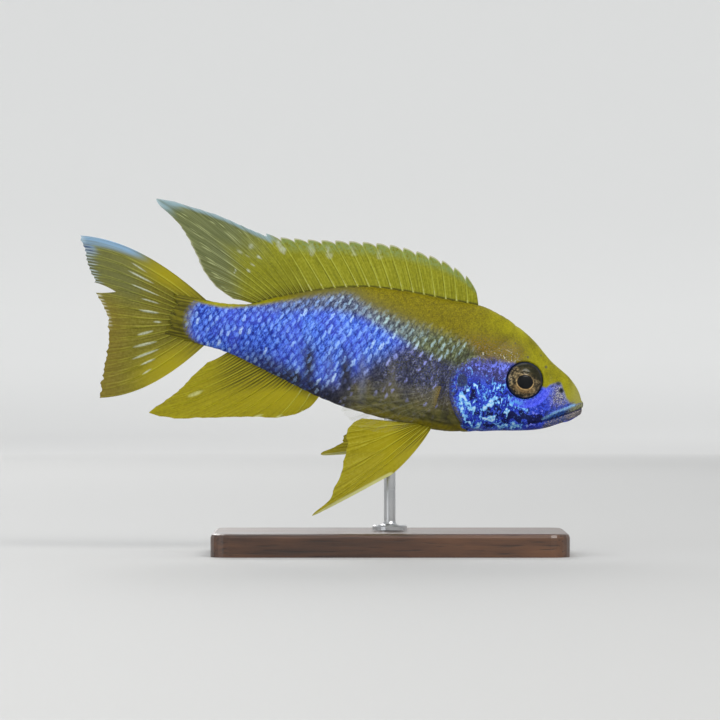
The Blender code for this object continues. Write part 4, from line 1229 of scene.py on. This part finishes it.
dorsal = {
    "spines": 16, "firstAt": 31.8, "step": 2.88, "lean": 1.2, "leanMore": 0.218, "bow": 0.03,
    "edge": [
        (32, 21.5), (33, 23.2), (36, 25.4), (40, 27.3), (45, 28.7), (50, 29.3), (56, 29.6), (62, 29.1),
        (70, 27.9), (78, 26.5), (86, 25.5),
    ],
    "softFirst": 76.9, "softStep": 1.27, "softBow": 0.05,
    "softTips": [
        (89.5, 25.9), (94, 26.8), (100, 28.1), (108.5, 29.2), (120.3, 29.6), (114.2, 25.1), (110, 21.6),
        (106.9, 17.6), (103.8, 13.6), (99.6, 10.2), (94.6, 8),
    ],
    "lappet": 0.95,
    "patches": [
        (86, 24.6, 84.3, 22.9, 0.62, 0.7), (77.7, 25.6, 77, 24.2, 0.7, 0.5),
        (73, 25.7, 72.4, 24.2, 0.7, 0.5), (66.8, 27.3, 66.3, 26.3, 0.6, 0.35),
        (60.2, 27.9, 59.6, 26.9, 0.5, 0.3), (91.5, 17.9, 91.3, 17.7, 0.26, 1),
        (92.1, 16.2, 91.9, 16, 0.26, 1.1), (90.2, 20.3, 90, 20, 0.26, 1),
        (95.5, 20.6, 95.1, 20.2, 0.3, 0.7), (93.2, 19.8, 93, 19.6, 0.22, 0.8),
        (95.6, 15.4, 95.4, 15.2, 0.22, 0.9), (93, 22.5, 92.7, 22.1, 0.25, 0.7),
    ],
    "columns": 14, "rows": 64, "rayRadius": (0.25, 0.08), "membrane": (0.2, 0.12),
    "sag": 0.1, "wave": 0.35, "waveRate": 0.45, "fray": 0.006,
}


def dorsalMarks(middle, t, across):
    s, z = middle[..., 0], middle[..., 2]
    # the upper margin of the rear lobe, over its leading soft rays, and the flaps of the spines
    leading = ramp(15, 16, across)[:, None] * ramp(20.9, 20, across)[:, None]
    inward = np.linalg.norm(middle - middle[:, -1:], axis=-1)
    band = leading * ramp(3.3, 1.2, inward) + leading * ramp(7, 3, inward) * ramp(111, 117, s)
    flaps = ramp(15.6, 14.8, across)[:, None]
    rise = z - backAt(s)
    foot = ramp(0.62, 0.4, rise) * ramp(0.03, 0.12, np.abs(across - np.round(across)))[:, None]
    rim = np.maximum(flaps, ramp(20.4, 21, across)[:, None] * 0.7) * ramp(0.55, 0.25, inward)
    return {"pale": rim, "sky": np.clip(band, 0, 1) * 0.9, "foot": foot,
            "dusky": (0.9 * ramp(3.4, 0.4, rise) + 0.45 * ramp(15, 4, rise)) * ramp(13, 17, across)[:, None],
            "greyed": ramp(84, 100, s) * ramp(0.2, 0.6, t), "flap": flaps * ramp(0.68, 0.95, t),
            "dash": np.clip(strokeField(s, z, dorsal["patches"], 0.3), 0, 1)}


def dorsalFin():
    k = dorsal
    top = curve(k["edge"])
    rays, lengths = [], []

    def addRay(s, tip, height, bow):
        root = (s, 0, float(backAt(s)) + rootLift)
        rays.append(finRay(root, (tip, 0, height), bow))
        lengths.append(math.dist(root, (tip, 0, height)))

    for i in range(k["spines"]):
        s = k["firstAt"] + k["step"] * i
        tip = s + k["lean"] + k["leanMore"] * (s - k["firstAt"])
        addRay(s, tip, float(top(tip)), k["bow"])
    for j, (tip, height) in enumerate(k["softTips"]):
        addRay(k["softFirst"] + k["softStep"] * j, tip, height, k["softBow"])

    def edge(i, share):
        # each flap rises rearwards from its spine and ends in a corner before the next
        flap = 1.1 * np.sin(math.pi / 2 * np.clip(share / 0.62, 0, 1)) ** 0.6 - 0.9 * ramp(0.8, 1, share)
        return np.where(i < k["spines"], 1 + k["lappet"] * flap / np.array(lengths)[i], softEdge(i, share))

    material = finFinish("dorsal fin", "dorsal")
    buildFin("dorsal", "dorsal_fin", rays, k, material, dorsalMarks, edge=edge, hardTo=k["spines"])


tail = {
    "end": [(99.5, 6.1), (102.9, 5.2), (104.8, 4), (105.6, 1), (105.2, -2), (102.8, -4.4), (98.6, -5.6)],
    "tips": [
        (137.5, 15.7), (136.2, 13.2), (135, 11), (134, 8.8), (132.6, 6.6), (131, 4.6), (130, 2),
        (128, -0.4), (126.3, -3), (125, -6), (124.3, -9.2), (124, -12.4), (124, -15.6), (123.9, -18.8),
        (123.8, -21.8), (123.5, -24.7),
    ],
    "rootTop": 5.9, "rootBottom": -5.5, "bowTop": 0.175, "bowBottom": -0.19, "bowAt": 0.6, "sunk": 2.4,
    "split": 5, "splitTo": 0.74, "splitForm": 0.6,
    "columns": 16, "rows": 84, "rayRadius": (0.27, 0.07), "membrane": (0.24, 0.1),
    "sag": 0.06, "wave": 0.4, "waveRate": 0.7, "fray": 0.01,
    # white dashes between the rays: from and to, in s and z, and half width
    "dashes": [
        (118, 10, 122.5, 11.7, 0.14), (115.5, 7.5, 123, 9.5, 0.2), (113.5, 4.7, 121.5, 6.2, 0.18),
        (113, 2.7, 118, 3.1, 0.16), (112.5, 0.3, 118, 0, 0.26), (111.5, -1.9, 113.6, -2.2, 0.2),
        (113, -4.5, 117, -6.5, 0.26), (111.5, -7, 117.5, -9.9, 0.28), (110.5, -8.8, 117, -13, 0.25),
        (111, -11.5, 114.5, -14, 0.22), (111.5, -14.3, 113.5, -16.3, 0.16),
    ],
}


def dashMark(s, z, dashes):
    mark = np.zeros(np.shape(s))
    for s1, z1, s2, z2, half in dashes:
        d = np.array([s2 - s1, z2 - z1])
        t = ((s - s1) * d[0] + (z - z1) * d[1]) / (d @ d)
        far = np.abs((s - s1) * d[1] - (z - z1) * d[0]) / np.linalg.norm(d)
        taper = np.clip(1 - (2 * t - 1) ** 2, 0, 1) ** 0.5
        mark = np.maximum(mark, ramp(1.7, 0.3, far / (half * taper + 1e-3)) * taper)
    return mark


def tailMarks(middle, t, across):
    s, z = middle[..., 0], middle[..., 2]
    column = across[:, None]
    topEdge = ramp(0.45 + 0.75 * t, 0.1 + 0.35 * t, column) * ramp(117, 124, s)
    tipStart = 0.87 - 0.05 * ramp(4, 0, column)
    upperTip = ramp(5.6, 5, column) * ramp(tipStart, 0.95, t + 0.03 * np.sin(column * 5.3))
    middleTips = ramp(5.5, 5.8, column) * ramp(9.4, 8.6, column) * ramp(0.9, 0.97, t)
    edges = ramp(3.2, 0.7, np.minimum(column, (15 - column) * 0.85)) * ramp(0.85, 0.3, t) * ramp(-0.1, 0.3, t)
    corner = ramp(2.4, 1, column) * ramp(0.84, 0.93, t)
    return {"pale": middleTips, "sky": np.maximum(topEdge, corner * 0.85), "tips": upperTip * (1 - topEdge),
            "dash": dashMark(s, z, tail["dashes"]), "bright": edges,
            "dusky": ramp(0.42, 0.08, t) * (1 - edges), "greyed": ramp(8, 4, column) * ramp(0.3, 0.6, t)}


def tailFin():
    k = tail
    end = curve([(-z, s) for s, z in k["end"]])
    rays = []
    for i, (tip, height) in enumerate(k["tips"]):
        share = i / (len(k["tips"]) - 1)
        root = k["rootTop"] + (k["rootBottom"] - k["rootTop"]) * share
        bow = k["bowTop"] + (k["bowBottom"] - k["bowTop"]) * share
        start = (float(end(-root)) + rootLift, 0, root)
        rays.append(finRay(start, (tip, 0, height), bow, k["bowAt"], sunk=k["sunk"]))

    def edge(i, share):
        torn = 1 - (1 - k["splitTo"]) * (1 - np.abs(2 * share - 1)) ** k["splitForm"]
        return np.where(i == k["split"], torn, softEdge(i, share))

    buildFin("tail_fin", "caudal_fin", rays, k, finFinish("tail fin", "tail"), tailMarks, edge=edge)


anal = {
    "from": 67.3, "to": 93.2, "bow": -0.08,
    "tips": [
        (69.2, -15.6), (72.4, -18), (76.8, -19.8), (83, -21), (89, -22.4), (96, -24.2), (103, -25.8),
        (109.8, -25.7), (106.2, -21.5), (103.2, -18), (100.8, -14.2), (97.6, -9.6),
    ],
    "columns": 14, "rows": 64, "rayRadius": (0.26, 0.07), "membrane": (0.2, 0.1),
    "sag": 0.08, "wave": 0.4, "waveRate": 0.6, "fray": 0.008,
    "dashes": [
        (97, -17, 100.7, -19.4, 0.44), (80.4, -19.7, 83.4, -21.3, 0.24), (75.4, -18.6, 77.4, -20.2, 0.2),
        (70.3, -16.4, 71.1, -17, 0.2),
    ],
}


def analMarks(middle, t, across):
    column = across[:, None]
    reach = 0.22 + 0.42 * ramp(2, 9, column)
    return {"dash": dashMark(middle[..., 0], middle[..., 2], anal["dashes"]),
            "bright": ramp(7.5, 2.5, column) * ramp(1.1, 0.2, t),
            "dusky": ramp(0.4, 4, column) * ramp(reach, 0.25 * reach, t)}


def analFin():
    k = anal
    rays = []
    for i, (tip, depth) in enumerate(k["tips"]):
        s = k["from"] + (k["to"] - k["from"]) * i / (len(k["tips"]) - 1)
        rays.append(finRay((s, 0, float(bellyAt(s)) - rootLift), (tip, 0, depth), k["bow"]))
    buildFin("anal", "anal_fin", rays, k, finFinish("anal fin", "anal"), analMarks, hardTo=3)


pelvic = {
    "from": 37, "step": 0.95, "side": 2.3, "sideStep": 0.12, "splay": 0.2, "bow": -0.1,
    "lead": (0.8, 0.5, -3),
    "right": [
        (44.6, -27.9), (62.4, -42.6), (59, -37.2), (57.8, -30.5), (57.8, -24), (58.2, -18.6), (55.6, -15.2),
    ],
    "left": [
        (47.5, -22.5), (63.7, -27.2), (60.4, -23.8), (58.8, -20.8), (57.6, -18.6), (55.5, -16.6), (53, -15),
    ],
    "columns": 24, "rows": 60, "rayRadius": (0.27, 0.08), "membrane": (0.18, 0.1),
    "sag": 0.1, "wave": 0.25, "waveRate": 1.1, "fray": 0.01,
}


def pelvicMarks(middle, t, across):
    column = across[:, None]
    # a whitish line along the leading edge, beyond the end of the spine
    first = middle[:pelvic["columns"] + 1, -1][:, [0, 2]]
    far, _ = lineDistance(middle[..., 0], middle[..., 2], first)
    edge = ramp(0.95, 0.5, far) * ramp(1.3, 1.1, column)
    return {"pale": edge, "bright": ramp(0.9, 0.2, t), "dusky": ramp(0.5, 0.18, t)}


def pelvicFin(word, side, material):
    k = pelvic
    rays = []
    for i, (tip, depth) in enumerate(k[word]):
        s, y = k["from"] + k["step"] * i, k["side"] + k["sideStep"] * i
        z = float(underAt(s, y)) - rootLift
        far = y + k["splay"] * math.hypot(tip - s, depth - z)
        lead = (k["lead"][0] + 0.55 * i, side * k["lead"][1], k["lead"][2] + 0.4 * i)
        rays.append(finRay((s, side * y, z), (tip, side * far, depth), k["bow"] * (1 - 0.15 * i), lead=lead))
    buildFin(f"pelvic_{word}", f"pelvic_fin_{word}", rays, k, material, pelvicMarks, hardTo=1)


pectoral = {
    "root": [(36.9, -2.8), (37.5, -8)],
    "tips": [
        (56.5, -5.2), (60.5, -8), (62.2, -11.2), (61, -14.2), (58.6, -16.4), (55.4, -17.6), (52, -18),
        (48.6, -17.4), (45.4, -16), (42.6, -14),
    ],
    "spread": 0.28, "bow": -0.04, "lead": (0.8, 2.6, -0.2),
    "columns": 12, "rows": 56, "rayRadius": (0.16, 0.05), "membrane": (0.12, 0.07),
    "sag": 0.05, "wave": 0.25, "waveRate": 0.8, "fray": 0.008,
}


def pectoralFin(word, side, material):
    k = pectoral
    (sTop, zTop), (sLow, zLow) = k["root"]
    rays = []
    for i, (tip, height) in enumerate(k["tips"]):
        share = i / (len(k["tips"]) - 1)
        s, z = sTop + (sLow - sTop) * share, zTop + (zLow - zTop) * share
        y = float(sideAt(s, z)) + rootLift
        lead = (k["lead"][0], side * k["lead"][1], k["lead"][2])
        far = (tip, side * (y + k["spread"] * (tip - s)), height)
        rays.append(finRay((s, side * y, z), far, k["bow"], lead=lead))
    buildFin(f"pectoral_{word}", f"pectoral_fin_{word}", rays, k, material)


def finPaint(kind):
    def paint(read):
        t = finTints
        ray, ridge = read("ray", True), read("ridge")
        out = ray.part(1)
        # streaks that run out along the rays
        lines = ray.grown((9, 1.4, 0)).noise(1, 3, 0.6)
        fine = ray.grown((26, 3, 0)).noise(1, 2)
        grain = read("fishPos", True).noise(1.6, 3, 0.6)
        comb = ray.part(0) * 18.85 + lines * 7
        combed = comb.calc("SINE", comb) * 0.5 + 0.5
        colour = (lines * 0.55 + grain * 0.35 + combed * 0.05 + 0.025).stops(*zip((0.37, 0.5, 0.63), t[kind]))
        if kind == "dorsal":
            grey = lines.stops((0.4, (88, 96, 62)), (0.5, t["grey"]), (0.62, (128, 134, 96)))
            colour = colour.painted(
                (t["green"], (read("flap") * (0.55 + (grain - 0.5) * 3)).within(0, 0.8)),
                (grey, read("greyed") * 0.9), ((70, 68, 14), read("foot") * 0.8))
        else:
            colour = colour.tinted(t["bright"], read("bright") * 0.8)
        if kind == "tail":
            colour = colour.painted(
                (t["grey"], read("greyed") * 0.55),
                (t["brown"], out.ease(0.5, 1) * (1 - read("greyed")) * 0.4))
        # the rays: bright and plain where they are spines, faint where they branch
        spine = read("hard") * out.ease(1, 0.45)
        core = ridge ** 2.5
        wide = ridge ** 1.7 if kind == "dorsal" else core
        colour = colour.painted(
            (t["deep"], read("dusky") * (lines * 0.6 + combed * 0.3).ease(0.36, 0.54) * 0.95),
            (t["ray"], (wide * (0.25 + spine * 0.65)).least(0.9)))
        if kind == "dorsal":
            lobe = read("greyed") * out.ease(1, 0.85)
            colour = colour.tinted(t["rayGrey"], (wide * 1.1).least(0.9) * lobe)
        # whitish glints on the spines near their base: painted highlights
        colour = colour.tinted(t["pale"], core * spine * out.ease(0.35, 0.05) * grain.ease(0.45, 0.58) * 0.6)
        if kind in ("dorsal", "tail"):
            sky = t["sky"] if kind == "dorsal" else t["skyTail"]
            colour = colour.painted(
                (sky, read("sky") * (0.5 + lines.ease(0.35, 0.55) * 0.5)),
                (t["ice"], read("sky") * read("margin").ease(0.95, 1) * 0.35))
        if kind == "tail":
            colour = colour.painted(
                (t["night"], read("tips") * read("sky").most(0.3)),
                (t["ice"], read("tips") * combed.ease(0.45, 0.9) * fine.ease(0.36, 0.5) * 0.75))
        if kind == "pelvic":
            colour = colour.tinted(t["cream"], read("pale") * 0.9)
        else:
            dash = read("dash") * ((fine - 0.5) * 1.6 + (grain - 0.5) * 1.6 + 0.75)
            colour = colour.tinted(t["dot"] if kind == "anal" else t["chalk"], dash.within(0, 0.85))
        if kind in ("dorsal", "tail"):
            share = read("pale") * 0.8
            colour = colour.tinted(t["pale"], share * combed.ease(0.3, 0.7) if kind == "tail" else share)
        return {"Base Color": colour, "Roughness": 0.4 + fine * 0.2, "Alpha": 0.9 + 0.1 * ridge,
                "Bump": (fine, 0.3, 0.00015)}

    return paint


def finFinish(name, kind):
    return finish(name, finPaint(kind), Specular_IOR_Level=0.12)


def clearFinPaint(read):
    ray, ridge = read("ray", True), read("ridge")
    lines = ray.grown((9, 1.2, 0)).noise(1, 2)
    base = ray.part(1).ease(0.3, 0)
    colour = lines.stops((0.3, (150, 146, 96)), (0.7, (206, 204, 176)))
    colour = colour.tinted((142, 116, 26), base * 0.9)
    solid = 0.02 + 0.08 * ridge + 0.85 * base ** 2
    return {"Base Color": colour, "Roughness": 0.3 + lines * 0.1, "Alpha": solid.least(1),
            "Bump": (lines, 0.2, 0.0001)}


def buildFins():
    dorsalFin()
    tailFin()
    analFin()
    yellow = finFinish("pelvic fins", "pelvic")
    clear = finish("pectoral fins", clearFinPaint, Specular_IOR_Level=0.1)
    for word, side in (("right", -1), ("left", 1)):
        pelvicFin(word, side, yellow)
        pectoralFin(word, side, clear)


def woodPaint(read):
    at = read("object")
    warp = at.noise(30, 2, out=1)
    grainAt = at.moved(warp.grown((0.004, 0.004, 0.004))).grown((18, 260, 260))
    grain = grainAt.noise(1, 6, 0.62)
    pores = at.grown((90, 1500, 1500)).noise(1, 2)
    colour = grain.stops((0.3, (44, 27, 17)), (0.5, (74, 46, 28)), (0.72, (104, 68, 42)))
    colour = colour.tinted((28, 17, 11), pores.ease(0.56, 0.7) * 0.7)
    relief = grain - pores.ease(0.56, 0.7) * 0.4
    return {"Base Color": colour, "Roughness": 0.3 + grain * 0.18, "Bump": (relief, 0.25, 0.0003)}


def steelPaint(read):
    at = read("object")
    brushed = at.grown((160, 160, 9000)).noise(1, 3)
    cloud = at.noise(90, 2)
    colour = cloud.stops((0.3, (176, 178, 180)), (0.7, (206, 207, 208)))
    return {"Base Color": colour, "Roughness": 0.2 + brushed * 0.22, "Bump": (brushed, 0.12, 0.0001)}


def dressStand():
    for node, made in (("stand_base", finish("oiled walnut", woodPaint, Coat_Weight=0.3, Coat_Roughness=0.2)),
                       ("stand_rod", finish("brushed steel", steelPaint, Metallic=1))):
        for held in frame["nodes"][node].material_slots:
            held.material = made


# Stage, light and camera
stageShape = {
    "centre": 0.02, "flat": 1.3, "flatRings": 14, "bendRings": 16, "radius": 3, "height": 2.2, "sides": 96,
    # how much the floor and wall glow, by the share of the way out
    "glow": [
        (0, 0), (0.1, 0.04), (0.25, 0.14), (0.42, 0.18), (0.6, 0.18), (0.76, 0.18), (0.9, 0.15), (1, 0.1),
    ],
    "sky": (0.96, 0.98, 1, 1), "skyStrength": 0.7,
}
view = {"distance": 1.2, "width": 0.1872, "ahead": -57.59, "above": 11.96, "sensor": 36}
lampAim = Vector((0, 0, 0.06))
lamps = [
    # name, place, size, watts, colour
    ("key", (0.55, -1, 0.9), 0.6, 9, (1, 0.98, 0.95)),
    ("fill", (-1.1, -0.9, 0.45), 0.9, 4, (0.94, 0.97, 1)),
    ("top", (0, 0.1, 1.3), 0.9, 4, (1, 1, 1)),
    ("back", (-0.3, 1.1, 0.6), 0.6, 4, (1, 1, 1)),
]


def floorPaint(read):
    # darker under the lamps than out on the wall, and the wall glows a little, so that both look alike
    at = read("object")
    far = (at.part(0) ** 2 + at.part(1) ** 2) ** 0.5
    fine = at.noise(900, 2)
    out = (far + at.noise(2, 3) * 0.1).ease(1, 2.1)
    shade = out.stops((0, (0.47, 0.47, 0.465, 1)), (1, (0.8, 0.8, 0.79, 1)))
    glow = out.stops(*((share, (grey, grey, grey, 1)) for share, grey in stageShape["glow"]))
    return {"Base Color": shade, "Emission Color": glow, "Roughness": 0.62 + fine * 0.1,
            "Bump": (fine, 0.05, 0.0001)}


def buildStage():
    # a pale bowl: flat under the model and rising evenly all round, so every view has it behind
    k = stageShape
    bend = k["radius"] - k["flat"]
    radii = list(np.linspace(k["centre"], k["flat"], k["flatRings"]))
    heights = [0.0] * len(radii)
    for a in np.linspace(0, math.pi / 2, k["bendRings"])[1:]:
        radii.append(k["flat"] + bend * math.sin(a))
        heights.append(bend * (1 - math.cos(a)))
    radii.append(k["radius"])
    heights.append(k["height"])
    turns = 2 * math.pi * np.arange(k["sides"]) / k["sides"]
    points = [(r * math.cos(a), r * math.sin(a), h) for r, h in zip(radii, heights) for a in turns]
    quads = gridFaces(len(radii), k["sides"], wrap=True)[:, ::-1].tolist()
    mesh = bpy.data.meshes.new("studio_floor")
    mesh.from_pydata(points, [], quads + [list(range(k["sides"]))])
    mesh.shade_smooth()
    mesh.materials.append(finish("pale floor", floorPaint, Emission_Strength=1, Specular_IOR_Level=0.2))
    floor = bpy.data.objects.new("studio_floor", mesh)
    bpy.context.scene.collection.objects.link(floor)


def buildLights():
    for name, spot, size, watts, colour in lamps:
        data = bpy.data.lights.new(name, "AREA")
        data.shape, data.size, data.energy, data.color = "DISK", size, watts, colour
        lamp = bpy.data.objects.new(name, data)
        lamp.location = spot
        lamp.rotation_euler = (lampAim - Vector(spot)).to_track_quat("-Z", "Y").to_euler()
        bpy.context.scene.collection.objects.link(lamp)
    world = bpy.data.worlds.new("studio")
    world.use_nodes = True
    background = world.node_tree.nodes["Background"]
    background.inputs["Color"].default_value = stageShape["sky"]
    background.inputs["Strength"].default_value = stageShape["skyStrength"]
    bpy.context.scene.world = world


def buildCamera():
    snout = place((0, 0, 0))
    data = bpy.data.cameras.new("camera")
    data.sensor_width = view["sensor"]
    data.lens = view["sensor"] * view["distance"] / view["width"]
    camera = bpy.data.objects.new("camera", data)
    camera.location = (snout[0] + view["ahead"] * mm, -view["distance"], snout[2] + view["above"] * mm)
    camera.rotation_euler = (math.pi / 2, 0, 0)
    bpy.context.scene.collection.objects.link(camera)
    bpy.context.scene.camera = camera
    bpy.context.scene.view_settings.view_transform = "Standard"


buildCamera()
buildLights()
buildStage()
print("stage, light and camera set")
buildSkin()
dressInScales()
eyeFinish = finish("eye", eyePaint, Coat_Weight=0.25, Coat_Roughness=0.02, Specular_IOR_Level=0.1)
buildEye("eyeball_right", -1, eyeFinish)
buildEye("eyeball_left", 1, eyeFinish)
buildFins()
dressStand()
print("fish and stand dressed")
